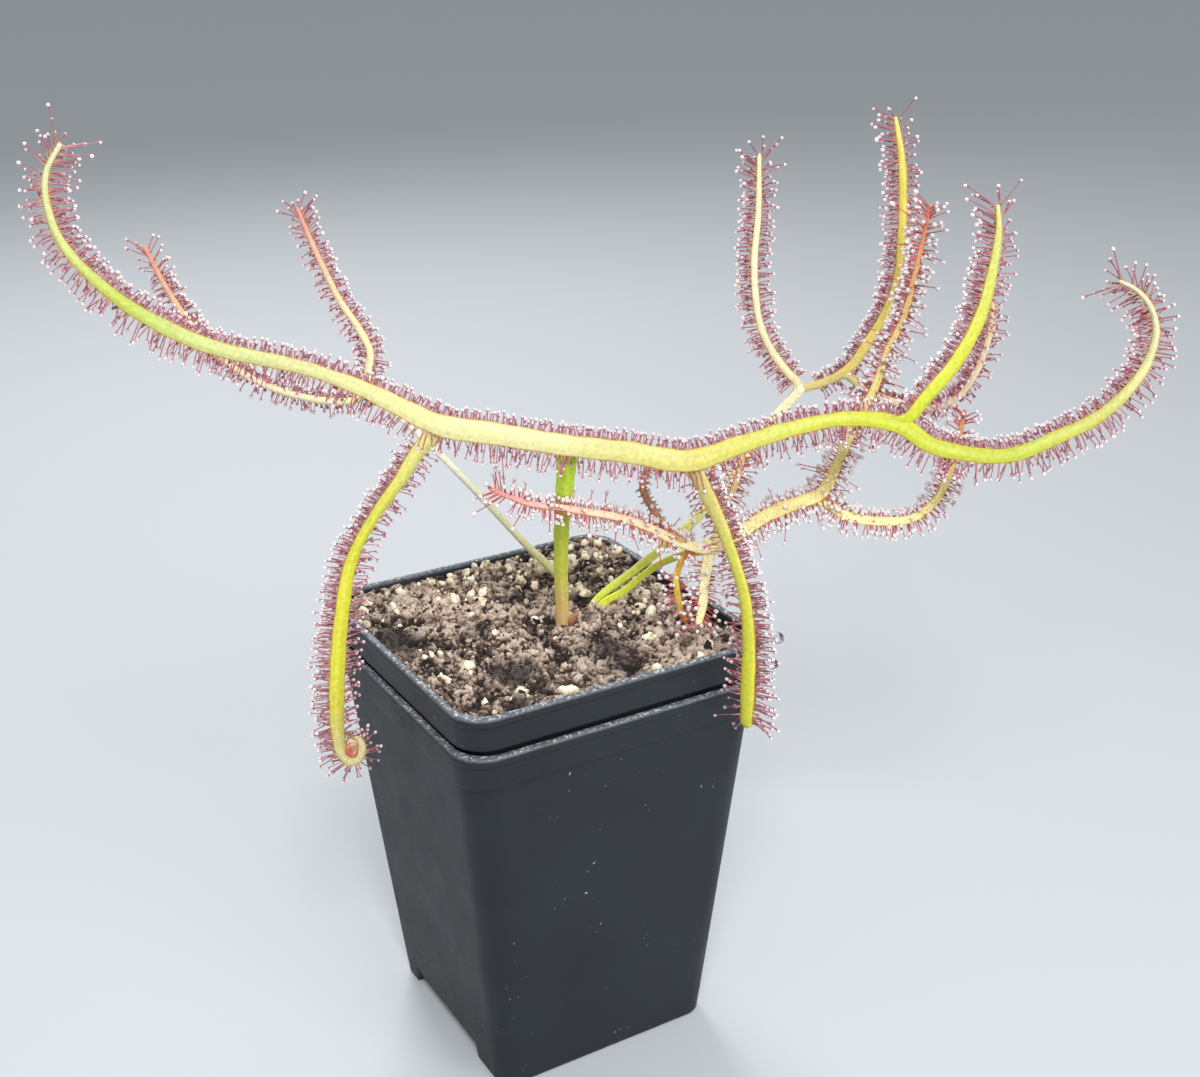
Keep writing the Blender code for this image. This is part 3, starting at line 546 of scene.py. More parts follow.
class Arm:
    """One arm: a cubic curve through its points with their neighbours' slope, taken again at
    equal steps. Its gland side is carried along by taking away at each step the part that lies
    along the curve. An arm that springs from another starts thin, inside it."""

    def __init__(self, points, width, face, thick=1.1, start=None, both_ends=False, **looks):
        points = to_row(points)
        knots = np.concatenate([[0], np.cumsum(np.linalg.norm(np.diff(points, axis=0), axis=1))])
        slope = np.gradient(points, knots, axis=0)
        fine = np.linspace(0, knots[-1], int(knots[-1] / (0.25 * MM)))
        k = np.clip(np.searchsorted(knots, fine, side="right") - 1, 0, len(knots) - 2)
        span = (knots[k + 1] - knots[k])[:, None]
        t = (fine - knots[k])[:, None] / span
        line = ((2 * t**3 - 3 * t**2 + 1) * points[k] + (t**3 - 2 * t**2 + t) * span * slope[k]
                + (3 * t**2 - 2 * t**3) * points[k + 1] + (t**3 - t**2) * span * slope[k + 1])
        run = np.concatenate([[0], np.cumsum(np.linalg.norm(np.diff(line, axis=0), axis=1))])
        even = np.linspace(0, run[-1], int(run[-1] / RING_STEP) + 2)
        self.line = np.stack([np.interp(even, run, line[:, i]) for i in range(3)], -1)
        self.length = run[-1]
        self.share = even / run[-1]
        self.along = unit(np.gradient(self.line, axis=0))
        side = to_row(face)
        sides = []
        for direction in self.along:
            side = side - np.dot(side, direction) * direction
            side = side / np.linalg.norm(side)
            sides.append(side)
        self.up = np.array(sides)
        self.across = np.cross(self.along, self.up)
        widths = np.array(width) * MM
        self.width = np.interp(self.share, np.linspace(0, 1, len(widths)), widths)
        self.thick = np.minimum(self.width * 0.9, thick * MM)
        self.start = start
        self.both_ends = both_ends
        if start is not None and not both_ends:
            self.thick *= 0.5 + 0.5 * np.clip(even / (5 * MM), 0, 1)
        self.looks = looks

    def at(self, share, values):
        """Values along the arm at the given shares."""
        return np.stack([np.interp(share, self.share, values[:, i])
                         for i in range(values.shape[1])], -1)


def blade_arrays(arm, start):
    """A flat oval carried along the arm: cosine and sine to powers under one, so that it is
    squarer than an ellipse, its smooth side crowned by a bell curve and its gland side hollowed
    by one. The width wanders by a sine, and both ends close in a point."""
    around = BLADE_POINTS
    turn = np.arange(around) * 2 * math.pi / around
    across = np.sign(np.cos(turn)) * np.abs(np.cos(turn)) ** 0.8
    deep = np.sign(np.sin(turn)) * np.abs(np.sin(turn)) ** 0.75
    wobble = 1 + 0.03 * np.sin(arm.share * arm.length / MM * 0.9 + 1.7 * start)
    x = across[None] * (arm.width * wobble)[:, None] / 2
    crown = np.where(deep < 0, 0.85 + 0.3 * np.exp(-(across / 0.35) ** 2),
                     0.85 - 0.3 * np.exp(-(across / 0.5) ** 2))
    y = (deep * crown)[None] * arm.thick[:, None] / 2
    verts = (arm.line[:, None] + arm.across[:, None] * x[..., None]
             + arm.up[:, None] * y[..., None])
    rows = len(arm.line)
    first_end = arm.line[0] - arm.along[0] * arm.width[0] * (0.4 if arm.both_ends else 0)
    ends = np.array([first_end, arm.line[-1] + arm.along[-1] * arm.width[-1] * 0.4])
    verts = np.concatenate([verts.reshape(-1, 3), ends])
    first = np.arange(around)
    tris = np.concatenate([fan(first, rows * around),
                           fan(first[::-1] + (rows - 1) * around, rows * around + 1)])
    low = blend_colours(arm.looks["smooth"], arm.share)[:, None]
    high = blend_colours(arm.looks["upper"], arm.share)[:, None]
    mix = np.clip(0.5 + 1.4 * np.sin(turn), 0, 1)[None, :, None]
    margin = (np.abs(across) ** 9)[None, :, None] * (0.0 if arm.start is None else 0.7)
    # Painted shade: faint lighter and darker stripes along the blade stand for the light and shade
    # on low ribs.
    painted_rib_shade = 0.94 + 0.08 * np.cos(across * 6.6 + 0.6)
    tint = (low * (1 - mix) + high * mix) * painted_rib_shade[None, :, None]
    tint = tint * (1 - margin) + linear(MARGIN) * margin
    alpha = np.repeat(np.clip(np.sin(turn) + 0.3, 0, 1)[None], rows, 0)[..., None]
    if arm.start is None:
        alpha = alpha * 0
    tint = np.concatenate([tint, alpha], -1).reshape(-1, 4)
    tint = np.concatenate([tint, tint[:1], tint[-1:]])
    return verts, wrap_faces(rows, around) + start, tris + start, tint


def blades(name, arms):
    """All the arms of one leaf as one mesh."""
    parts = []
    start = 0
    for arm in arms:
        parts.append(blade_arrays(arm, start))
        start += len(parts[-1][0])
    verts, quads, tris, tint = (np.concatenate([p[i] for p in parts]) for i in range(4))
    return mesh_object(name, verts, quads, tris, tint=tint)


# Rows of glands on an arm: place across the half width, spacing and length in millimetres, and
# the angle in degrees from the plane of the blade up to the gland side.
GLAND_ROWS = ((1.0, 0.8, 4.1, 6), (-1.0, 0.85, 4.1, 6), (0.95, 0.8, 3.2, 32),
              (-0.95, 0.8, 3.2, 32), (0.5, 0.8, 2.8, 60), (-0.5, 0.85, 2.8, 60),
              (0.0, 0.95, 2.5, 90))
# A few long threads, two to four times as long as the rest, on two arms of the low leaf.
THREAD_ROWS = ((1.0, 5.5, 9.5, 15), (-1.0, 5.5, 9.5, 15))
TIP_REACH = 1.6
HEAD_RED = "963A50"
FOOT_PALE = "D8BE84"
UPWARD_REACH = 0.55
UNDERSIDE_SHARE = 0.9
TIP_SHARE = 0.5
TIP_ZONE = 8 * MM
TIP_FAN = 0.9
ANGLE_SPREAD = 9


def clear_of_pots(points):
    """True where a point is clear of the pots and the soil."""
    reach = np.abs(points[:, :2]).max(axis=1)
    beside = reach > POT_SIDE / 2 + 0.7 * MM
    above = points[:, 2] > RIM + 0.7 * MM
    over_soil = (reach < POT_SIDE / 2 - 3 * MM) & (points[:, 2] > SOIL_TOP + 2.2 * MM)
    return beside | above | over_soil


def gland_places(arms):
    """Roots, directions, lengths, bends and stalk colours of every gland of some arms, placed
    by the rows above with random slips. Glands that point up are shorter, those that point down
    fewer, and those at a free tip longer and fanned out past it."""
    roots, directions, lengths, bends, stains = [], [], [], [], []
    for arm in arms:
        if arm.start is None:
            continue
        reach = arm.looks.get("reach", 1.0)
        rows = GLAND_ROWS + (THREAD_ROWS if arm.looks.get("threads") else ())
        for place, spacing, length, angle in rows:
            spacing = spacing * arm.looks.get("sparse", 1.0)
            count = int(arm.length * (1 - arm.start) / (spacing * MM))
            even = np.arange(count) + rng.uniform(0, 1, count)
            share = arm.start + (1 - arm.start) * even / count
            centre = arm.at(share, arm.line)
            along = unit(arm.at(share, arm.along))
            across = unit(arm.at(share, arm.across))
            up = unit(arm.at(share, arm.up) + arm.looks.get("lean", 0.0) * across)
            width = np.interp(share, arm.share, arm.width)[:, None]
            to_end = 1 - share
            outward = np.ones(count)
            if arm.both_ends:
                to_end = np.minimum(share, 1 - share)
                outward = np.where(share < 0.5, -1.0, 1.0)
            tip = np.clip(1 - to_end * arm.length / TIP_ZONE, 0, 1)[:, None]
            tilt = np.radians(angle + rng.normal(0, ANGLE_SPREAD, count))[:, None]
            sideways = np.sign(place) if place else 0.0
            aim = across * sideways * np.cos(tilt) + up * np.sin(tilt)
            slip = rng.normal(0, 0.16, (count, 1)) + TIP_FAN * tip * outward[:, None]
            aim = unit(aim + along * slip + rng.normal(0, 0.07, (count, 3)))
            chance = np.interp(aim[:, 2], [-0.6, 0.2], [UNDERSIDE_SHARE, 1.0])
            chance = chance * (1 - (1 - TIP_SHARE) * tip[:, 0])
            if abs(place) < 0.9:
                chance = chance * arm.looks.get("inner", 1.0)
            kept = rng.random(count) < chance
            long = length * MM * reach * rng.uniform(0.74, 1.1, (count, 1))
            usual = np.interp(aim[:, 2], [-0.2, 0.3, 0.9], [1.0, 0.85, UPWARD_REACH])[:, None]
            at_tip = arm.looks.get("tip_reach", TIP_REACH)
            stain = blend_colours(arm.looks["stalk"], share) * rng.uniform(0.7, 1.15, (count, 1))
            roots.append((centre + across * place * width * 0.44)[kept])
            directions.append(aim[kept])
            lengths.append((long * (usual + (at_tip - usual) * tip))[kept])
            bends.append((up * rng.uniform(0.0, 0.3, (count, 1)))[kept])
            stains.append(stain[kept])
    roots, directions, lengths, bends, stains = map(
        np.concatenate, (roots, directions, lengths, bends, stains))
    heads = roots + directions * lengths + bends * lengths * 0.5
    keep = clear_of_pots(heads) & clear_of_pots((heads + roots) / 2)
    return tuple(a[keep] for a in (roots, directions, lengths, bends, stains))


def glands(name, places):
    """Four-sided stalks, bent by the square of the way along, stout at the foot and swelling
    into a red head; the colour runs from the blade's yellow through pink to the head's."""
    roots, directions, lengths, bends, stains = places
    levels = np.array([0.0, 0.4, 0.87, 0.95, 1.03])
    radii = np.array([0.19, 0.125, 0.09, 0.17, 0.05]) * MM
    around = 4
    count = len(roots)
    spine = (roots[:, None] + directions[:, None] * lengths[:, None] * levels[None, :, None]
             + bends[:, None] * lengths[:, None] * 0.5 * levels[None, :, None] ** 2)
    first = unit(np.cross(directions, rng.normal(size=(count, 3))))
    second = np.cross(directions, first)
    turn = np.arange(around) * 2 * math.pi / around
    ring = (np.cos(turn)[None, :, None] * first[:, None]
            + np.sin(turn)[None, :, None] * second[:, None])
    verts = spine[:, :, None] + ring[:, None] * radii[None, :, None, None]
    points = len(levels) * around
    quads = wrap_faces(len(levels), around)
    caps = np.array([[3, 2, 1, 0], [points - 4, points - 3, points - 2, points - 1]])
    quads = np.concatenate([quads, caps])
    into_head = np.clip((levels - 0.85) / 0.1, 0, 1)[None, :, None]
    from_foot = (np.clip(1 - levels / 0.3, 0, 1) * 0.5)[None, :, None]
    tint = stains[:, None] * (1 - into_head) + linear(HEAD_RED) * into_head
    tint = tint * (1 - from_foot) + linear(FOOT_PALE) * from_foot
    tint = np.clip(np.repeat(tint[:, :, None], around, 2), 0, 1)
    tint = np.concatenate([tint, np.zeros_like(tint[..., :1])], -1)
    return mesh_object(name, verts.reshape(-1, 3), repeat_faces(quads, count, points),
                       tint=tint.reshape(-1, 4))


def drops(name, places, size):
    """A drop round each head, drawn out a little along the stalk and sagging from it."""
    roots, directions, lengths, bends, _ = places
    verts, quads, tris = ball(3, 7)
    centre = roots + directions * lengths + bends * lengths * 0.5
    count = len(centre)
    axis = unit(directions + bends)
    first = unit(np.cross(axis, rng.normal(size=(count, 3))))
    second = np.cross(axis, first)
    radius = size * rng.uniform(0.78, 1.18, count)
    drawn = rng.uniform(1.05, 1.4, (count, 1, 1))
    shape = (verts[None, :, 0:1] * first[:, None] + verts[None, :, 1:2] * second[:, None]
             + verts[None, :, 2:3] * drawn * axis[:, None])
    shape = centre[:, None] + shape * radius[:, None, None] - np.array([0, 0, 0.12 * MM])
    # Painted light: the drop is pale at its outer end and takes the glue's pink towards the head,
    # which stands for the red head seen through it.
    white = np.clip(0.65 + 0.8 * verts[:, 2], 0, 1)
    return mesh_object(name, shape.reshape(-1, 3), repeat_faces(quads, count, len(verts)),
                       repeat_faces(tris, count, len(verts)), white=np.tile(white, count))


def loose_beads(name, spots):
    """Round beads at x, y, z with a radius, all in millimetres."""
    verts, quads, tris = ball(7, 14)
    spots = np.array(spots)
    shape = verts[None] * spots[:, 3, None, None] * MM + to_row(spots[:, :3])[:, None]
    return mesh_object(name, shape.reshape(-1, 3), repeat_faces(quads, len(spots), len(verts)),
                       repeat_faces(tris, len(spots), len(verts)),
                       white=np.zeros(len(spots) * len(verts)))


def leaf_skin(name, shade):
    """Living leaf: waxy skin over translucent tissue, its colour from the tint attribute; fine
    mottling of 0.8 mm, scaled by shade, which is painted light: below one for a leaf in strong
    light, one for leaves in shadow; and dark gland bases 0.6 mm apart on the gland side."""
    mat, tree, shader = new_material(
        name, Roughness=0.42, IOR=1.42, Subsurface_Weight=0.25, Subsurface_Scale=1.0,
        Subsurface_Radius=(1.2 * MM, 1.0 * MM, 0.3 * MM))
    tint = add(tree, "Attribute", {}, "Color", attribute_name="tint")
    gland_side = add(tree, "Attribute", {}, "Alpha", attribute_name="tint")
    mottle = mottling(tree, 0.8 * MM, 4, 0.65, [(0.3, 0.76 * shade), (0.6, shade)])
    colour = add(tree, "MixRGB", {"Fac": 1.0, "Color1": tint, "Color2": mottle},
                 blend_type="MULTIPLY")
    point = add(tree, "TexCoord", {}, "Object")
    cells = add(tree, "TexVoronoi", {"Vector": point, "Scale": 1 / (0.6 * MM)}, "Distance")
    dots = add(tree, "ValToRGB", {"Fac": cells}, stops=[(0.14, 1.0), (0.3, 0.0)])
    dots = add(tree, "Math", {0: dots, 1: gland_side}, operation="MULTIPLY")
    dots = add(tree, "Math", {0: dots, 1: 0.7}, operation="MULTIPLY")
    final = add(tree, "MixRGB", {"Fac": dots, "Color1": colour, "Color2": "8C5038"})
    tree.links.new(final, shader.inputs["Base Color"])
    roughen(tree, shader, 0.05 * MM, 0.5, 0.4 * MM, 3)
    return mat


def gland_skin(name):
    """Gland stalks: glossy wet red tissue, colour from the tint attribute."""
    mat, tree, shader = new_material(
        name, Roughness=0.3, IOR=1.4, Subsurface_Weight=0.2, Subsurface_Scale=1.0,
        Subsurface_Radius=(0.4 * MM, 0.15 * MM, 0.15 * MM))
    tint = add(tree, "Attribute", {}, "Color", attribute_name="tint")
    tree.links.new(tint, shader.inputs["Base Color"])
    return mat


def glue(name, clear, colour):
    """Sundew glue, as refractive as thin syrup, and clear. Its colour is painted light: seen small
    a drop is a pinkish pale bead, so the pink towards the head stands for the red head seen through
    the glue, and the pale outer end for light scattered in it; clear gives the share that passes
    straight through."""
    mat, tree, shader = new_material(
        name, IOR=1.38, Roughness=0.06, Transmission_Weight=clear, Subsurface_Weight=0.3,
        Subsurface_Scale=1.0, Subsurface_Radius=(0.5 * MM, 0.3 * MM, 0.3 * MM))
    white = add(tree, "Attribute", {}, "Fac", attribute_name="white")
    tint = add(tree, "ValToRGB", {"Fac": white}, stops=[(0.0, colour), (0.8, "F4E8E8")])
    tree.links.new(tint, shader.inputs["Base Color"])
    return mat


# Lit and shaded copies of one skin, painted light: the front leaf in strong light is painted 0.8 as
# bright, and the leaves in shadow keep full brightness.
sunny_skin = leaf_skin("sunny_leaf_skin", 0.8)
shady_skin = leaf_skin("shady_leaf_skin", 1.0)
stalk_skin = gland_skin("gland_skin")
# Painted light: these pinks stand for the red heads seen through clear glue.
fresh_glue = glue("fresh_glue", 0.12, "B07480")
clear_glue = glue("clear_glue", 0.22, "D8B4B4")


def grow_leaf(node, arms, skin, drop_size, glue_mat):
    """The blades, glands and drops of one leaf, standing for its solid. A withered arm keeps
    short dry glands without drops."""
    places = gland_places([arm for arm in arms if not arm.looks.get("dry")])
    withered = [arm for arm in arms if arm.looks.get("dry")]
    stalks = places
    if withered:
        stalks = tuple(map(np.concatenate, zip(places, gland_places(withered))))
    made = (blades(node + "_blades", arms), glands(node + "_glands", stalks),
            drops(node + "_drops", places, drop_size))
    for obj, mat in zip(made, (skin, stalk_skin, glue_mat)):
        obj.data.materials.append(mat)
        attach(obj, "root")
    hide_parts(node)


STALK_RED = ["B06874", "A25A6A"]
front = dict(face=AWAY, upper=["D8C468", "D8A868", "D08468"], stalk=STALK_RED)
grow_leaf("leaf_front", [
    Arm([(4.5, 3, 84), (4.5, 2.5, 91), (4.5, 0, 106), (5, -4, 117), (6, -9.6, 128),
         (6.5, -13, 134.8)],
        [2.9, 2.9, 3.0, 3.4, 4.0], AWAY, thick=2.0,
        smooth=["F4C09C", "F0D088", "E8EC60", "E8FC58", "E0FF50", "DCFF44"],
        upper=["C8B848", "CCE040"]),
    Arm([(5.8, 2.4, 90.6), (6.6, 1.9, 92.2), (7.7, 1.6, 93.8)],
        [2.0, 1.7, 0.6], AWAY, thick=0.8,
        smooth=["B8785C", "D09A78", "C08460"], upper=["A86C50", "B87858"]),
    Arm([(-81.5, -18, 195), (-84.3, -19, 190.3), (-83.7, -21, 181.2), (-74.2, -23, 169.2),
         (-61.5, -22, 160.6), (-39, -18, 152.7), (-31, -16, 148.6), (-25, -15, 145),
         (-18.5, -14, 141.2), (-6.5, -14, 138.9), (6.5, -14, 136.5), (18.5, -16, 135.6),
         (30, -18, 134.5), (39.5, -18, 137.6), (50.5, -18, 141), (60, -18, 142.5),
         (70.5, -18, 140.5), (75, -19, 137.5), (81.5, -20, 136), (90, -20, 135.5),
         (99.1, -19, 138.7), (106.5, -18, 142.1), (112, -17, 146.9), (116, -15, 152.5),
         (117, -14, 158), (115.5, -13, 162.5), (112.5, -13, 165.5), (109.5, -13, 167)],
        [0.9, 1.4, 2.1, 2.8, 2.7, 2.5, 3.6, 4.6, 4.2, 4.2, 4.4, 3.2, 2.7, 3.4, 2.9, 2.7, 2.2,
         1.4, 0.7], start=0.0, both_ends=True, lean=0.6,
        smooth=["F2F0C4", "E4E892", "CDDC58", "DDE690", "E8E6A0", "F2EDA6", "F4EEAA", "F3EFB0",
                "F0EA9A", "EEE47C", "E6E868", "DCE23C", "D4DC44", "CED84A", "D8D86A", "ECE8AC",
                "EFE9C8"],
        **front),
    Arm([(-12, -12.8, 139), (-17.5, -13.1, 139.3), (-21.5, -15, 136.5), (-25.5, -17, 131),
         (-30.5, -19, 124.5), (-35.3, -20, 116), (-37.8, -21, 105.5), (-39.4, -21, 95),
         (-40.3, -21, 86), (-40.7, -20.5, 77.7), (-40.3, -20, 73.3), (-38.8, -19.5, 70.8),
         (-37.2, -19, 71.2), (-36.4, -18.6, 73), (-36.7, -18.2, 74.9), (-37.9, -18.2, 75.7),
         (-38.8, -18.6, 75)],
        [3.8, 3.7, 2.9, 2.5, 2.4, 2.9, 3.1, 3.3, 3.3, 2.8, 2.0, 1.4], start=0.12, lean=-0.6,
        tip_reach=0.7,
        smooth=["F4F1B4", "F2ED8E", "EAEA62", "F0F04C", "F4F24C", "F2F04C", "F0E858", "F4E8A0",
                "F8E8B0"], **front),
    Arm([(-38, -19.1, 75.8), (-38.4, -19.2, 74.4), (-38.5, -19.2, 72.9), (-38.3, -19.1, 71.4)],
        [1.8, 2.7, 2.8, 2.2], AWAY, thick=0.9,
        smooth=["F6E0B0", "F0B494", "EC9078", "F0C890"], upper=["E07060", "D86858"]),
    Arm([(-37.5, -19.6, 74.9), (-38.9, -20, 74.4), (-39.1, -20, 73.3), (-38, -19.9, 72.6),
         (-37.6, -19.8, 73.4)],
        [1.0, 1.2, 1.1, 0.8], AWAY, thick=0.7,
        smooth=["F4D8A8", "E88068", "DC5C4C", "F0B088"], upper=["E07060", "D86858"]),
    Arm([(26, -16, 134.3), (30, -17.2, 132.8), (33.5, -20, 127.5), (37.5, -24, 118.5),
         (40, -27, 110.5), (41, -28, 101.5), (41, -28, 90.5), (41, -27, 82.5)],
        [3.6, 3.6, 2.9, 2.5, 2.6, 2.9, 3.2, 2.6], start=0.12, lean=0.6,
        smooth=["F4EA94", "F2E58E", "F0EA6C", "F0F050", "F0F04C", "F0EE50"], **front),
    Arm([(66.5, -17.4, 141.3), (70.5, -17.6, 142), (74, -17, 146), (79.5, -15, 152), (84, -13, 160),
         (86, -12, 169), (86.5, -12, 176.5), (86, -12, 181)],
        [2.6, 2.8, 3.0, 2.9, 2.5, 1.9, 0.8], start=0.12, lean=0.6,
        smooth=["E0E43C", "E4EC40", "E8EA54", "E6E87C", "ECEC94"], **front),
], sunny_skin, 0.35 * MM, fresh_glue)

# Beads of run glue: where drops of the same clear glue have met they have joined into larger
# round beads, held by their own stickiness: three on the big stalk, two beside the right arm.
beads = loose_beads("leaf_front_beads", [
    (4.9, -1.9, 112.9, 0.8), (3.6, -2.2, 114.2, 0.5), (6.1, -2.2, 114.4, 0.45),
    (46.6, -27, 101.2, 1.3), (45.9, -27, 95.6, 1.1)])
beads.data.materials.append(glue("run_glue", 0.95, "E8E4E8"))
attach(beads, "root")

# The back left leaf: a thinner leaf of the same living tissue, grown from the soil behind the
# front one's stalk, with one fork. Its two arms have turned orange-pink and end in red tips.
BLUSH = ["FAF4B8", "FBF0C0", "FBE2B8", "F4C4A4", "E0908A"]
back_left = dict(face=AWAY, upper=["E0B890", "D89084"], stalk=["B86878", "B45868"], sparse=1.1,
                 reach=0.75)
grow_leaf("leaf_back_left", [
    Arm([(9, 23.2, 84), (4.9, 22.4, 91), (-4.9, 21, 103), (-13.1, 19, 113.8), (-21.1, 17, 124.1),
         (-28.9, 15, 133.3), (-34.5, 14, 139)],
        [2.2, 1.8, 1.5, 1.5, 1.5, 1.6], AWAY, thick=1.5,
        smooth=["F2F288", "FCFCCC", "FFFFE8", "FEFCDC"], upper=["E8F068", "F0F470"]),
    Arm([(-31.5, 14.5, 136), (-34, 14, 139), (-34.7, 14, 143), (-34, 14, 147.5),
         (-36, 14, 152.5), (-39.5, 14, 158.5), (-42, 14, 164.5), (-44.5, 14, 171),
         (-46.5, 14, 177)],
        [1.6, 1.6, 1.6, 1.4, 1.2, 0.9], start=0.12, smooth=BLUSH, **back_left),
    Arm([(-31.5, 14.5, 136), (-34.5, 14, 138), (-38.5, 13, 137.5), (-49, 12, 139),
         (-61.5, 11, 145.5), (-72, 10, 160), (-76.5, 10, 170.5)],
        [1.7, 1.8, 1.6, 1.5, 1.3, 0.9], start=0.12, smooth=BLUSH, **back_left),
], shady_skin, 0.36 * MM, fresh_glue)

# The back right leaf: the same tissue on a slender stalk, grown from the soil behind the low leaf.
# It has one tall upright arm and a right arm that forks again, its lower branch dipping first.
back_right = dict(face=AWAY, upper=["E0C088", "D89878"], stalk=["A85C68", "9A5060"], sparse=1.0,
                  reach=0.8, lean=0.3)
grow_leaf("leaf_back_right", [
    Arm([(8, 11.6, 84), (11.2, 11.3, 91.5), (19.9, 12, 98.9), (26.8, 12.6, 104.5),
         (34, 13, 111.2), (42.4, 14, 122.1), (48.4, 14, 130.9), (55, 14, 139)],
        [1.6, 1.8, 2.0, 2.2, 2.2, 2.2], AWAY, thick=1.6,
        smooth=["E8F458", "F4FC70", "FCFCA4", "FFFCC4", "FFF8CC"], upper=["E8F458", "FCF8C0"]),
    Arm([(52, 14, 135.5), (54, 14, 139.5), (51.5, 14, 142.5), (48.5, 15, 146.5),
         (46, 15, 152), (44.8, 15, 158.5), (44.5, 16, 165.5), (45, 16, 173.5), (45, 16, 186)],
        [1.8, 1.7, 1.5, 1.4, 1.4, 1.2, 0.8], start=0.1,
        smooth=["F2E4B4", "F6E6BC", "FAEEC6", "FCEFC4", "FAEAB4"], **back_right),
    Arm([(51.5, 14, 135), (55, 14, 138.5), (58.5, 13, 140), (63.5, 12, 143), (68, 12, 149.5),
         (71.5, 12, 156.5), (73, 12, 162), (73.5, 13, 169.5), (73.5, 14, 177.5), (73, 15, 185),
         (71.5, 16, 193)],
        [1.9, 2.0, 2.2, 1.9, 1.9, 1.8, 1.6, 0.8], start=0.12,
        smooth=["F0E4A8", "E4D27C", "E4D470", "DECB5E", "D8C858", "E6DC78"], **back_right),
    Arm([(60.5, 12.5, 141), (63.5, 12, 142), (67, 11, 139.5), (71.5, 10, 137.5),
         (75.5, 9, 136.5), (80.5, 8, 136), (85.5, 8, 138), (89, 8, 143), (91, 8, 149.5),
         (91.5, 8, 156.5), (90.5, 8, 161.5)],
        [1.9, 1.8, 1.6, 1.5, 1.4, 1.0], start=0.12,
        smooth=["E0CE78", "F0E2B0", "F2DCB8", "F0D8BC", "EED4A8", "ECCC98"], **back_right),
], shady_skin, 0.36 * MM, fresh_glue)

# The low right leaf: the same tissue, grown from the soil beside the big stalk: a short stalk and
# a star of arms with their gland side towards the viewer, yellow and stippled. One red-tipped arm
# reaches left in front of the big stalk.
low_right = dict(face=TOWARDS, stalk=["C8606C", "C84A5C"], reach=0.72, inner=0.12)
YELLOW = ["EBDD88", "EADC84", "E6D878"]
grow_leaf("leaf_low_right", [
    Arm([(11.5, 7.8, 84), (12.7, 9.3, 91.9), (17.9, 9, 95.6), (21.5, 8, 99.3), (24.8, 6, 102.7),
         (28.2, 3.2, 105.6), (31.2, 0.6, 107.7), (36, -1.2, 109.3)],
        [1.5, 1.6, 1.5, 1.6, 2.2], TOWARDS, thick=1.5,
        smooth=["E8F450", "F0FC60", "F4FC70"], upper=["E8F450", "F0FC60", "F8FC78"]),
    Arm([(13.1, 9.7, 90.8), (13.9, 9.4, 92.4), (14.5, 9.1, 93.9)],
        [1.3, 1.5, 0.6], TOWARDS, thick=1.2,
        smooth=["F4D868", "F0B858"], upper=["F8E070", "F0B858"]),
    Arm([(37, -1, 109.5), (34, -1.5, 109.5), (29, -2, 111), (23, -4, 115), (16.5, -6.5, 118.5),
         (10.5, -8.5, 120.5), (5, -9.7, 122), (-1, -10, 123), (-6, -10, 125), (-9, -10, 126.5)],
        [2.5, 2.1, 1.7, 1.5, 1.3, 0.8], start=0.1, smooth=YELLOW,
        upper=["FAF0B4", "FBE8B8", "FBDCB8", "F4B4A4", "E88490"], threads=True, **low_right),
    Arm([(33, -1, 109.3), (36, -1, 109.5), (41, -2, 113), (47, -2, 117), (53, -3, 120),
         (57, -3, 121.5), (60, -2, 126.5), (62.5, -1, 132.5), (65, 0, 137.5), (67.5, 0, 143),
         (70, 1, 150.5), (72.5, 1, 156.5), (74, 1, 163.5), (76.5, 2, 178.5)],
        [2.8, 3.0, 3.0, 2.7, 2.1, 1.8, 1.5, 1.3, 1.1, 0.7], start=0.05, smooth=YELLOW,
        upper=["FBF2B8", "FCEEA8", "FBEA98", "FBEE9C", "F8E090", "F0C08C", "DC6C6C"],
        threads=True, **low_right),
    Arm([(54, -3, 120), (57, -3.2, 120.5), (62, -4, 117.5), (69.5, -4, 116), (75.5, -4, 116.5),
         (80.5, -3, 120), (83, -3, 126.5), (84, -3, 131), (85, -3, 139)],
        [2.4, 2.1, 1.9, 1.8, 1.7, 1.4, 0.8], start=0.1, smooth=YELLOW,
        upper=["FBF2B4", "F8EAA0", "FBF2A4", "F8E89C", "F0D48C", "D87870"], **low_right),
    Arm([(35.5, -0.5, 111), (35, -1.5, 108), (34, -4, 103.5), (33.5, -6, 99), (32.5, -8, 95)],
        [3.0, 2.5, 2.2, 2.0, 1.4], start=0.25, smooth=YELLOW, upper=["FBF2B4", "FCF4BC", "F4E4A4"],
        **low_right),
    Arm([(33, -0.5, 109.5), (30, 0, 107), (28.5, -1, 103.5), (29, -4, 98), (30, -6, 95.3)],
        [1.6, 1.4, 1.4, 1.3, 0.9], start=0.45, smooth=["E8B050", "F0DC38"],
        upper=["D89048", "F2E04C", "E49048"], **low_right),
    Arm([(30, -2, 110.5), (27, -2, 113), (23, -1, 119), (21.5, 0, 122), (22, 1, 125),
         (24, 2, 126.3), (25.5, 3, 124.8)],
        [1.7, 1.6, 1.5, 1.2], TOWARDS, start=0.1, dry=True, reach=0.28, sparse=1.2,
        stalk=["B08060", "9C7458"], smooth=["D8A860", "B88454", "A8805E"],
        upper=["D8A860", "B88454", "A8805E"]),
    Arm([(36.5, -1, 110), (37.5, 0, 117), (40, 1, 121.5), (41.5, 2, 126.5), (42.5, 3, 131.5)],
        [2.2, 1.4, 1.3, 0.9], start=0.3, smooth=["E8C868", "EFD898"],
        upper=["EED890", "F2D8A0", "ECC890"], **low_right),
], shady_skin, 0.44 * MM, clear_glue)

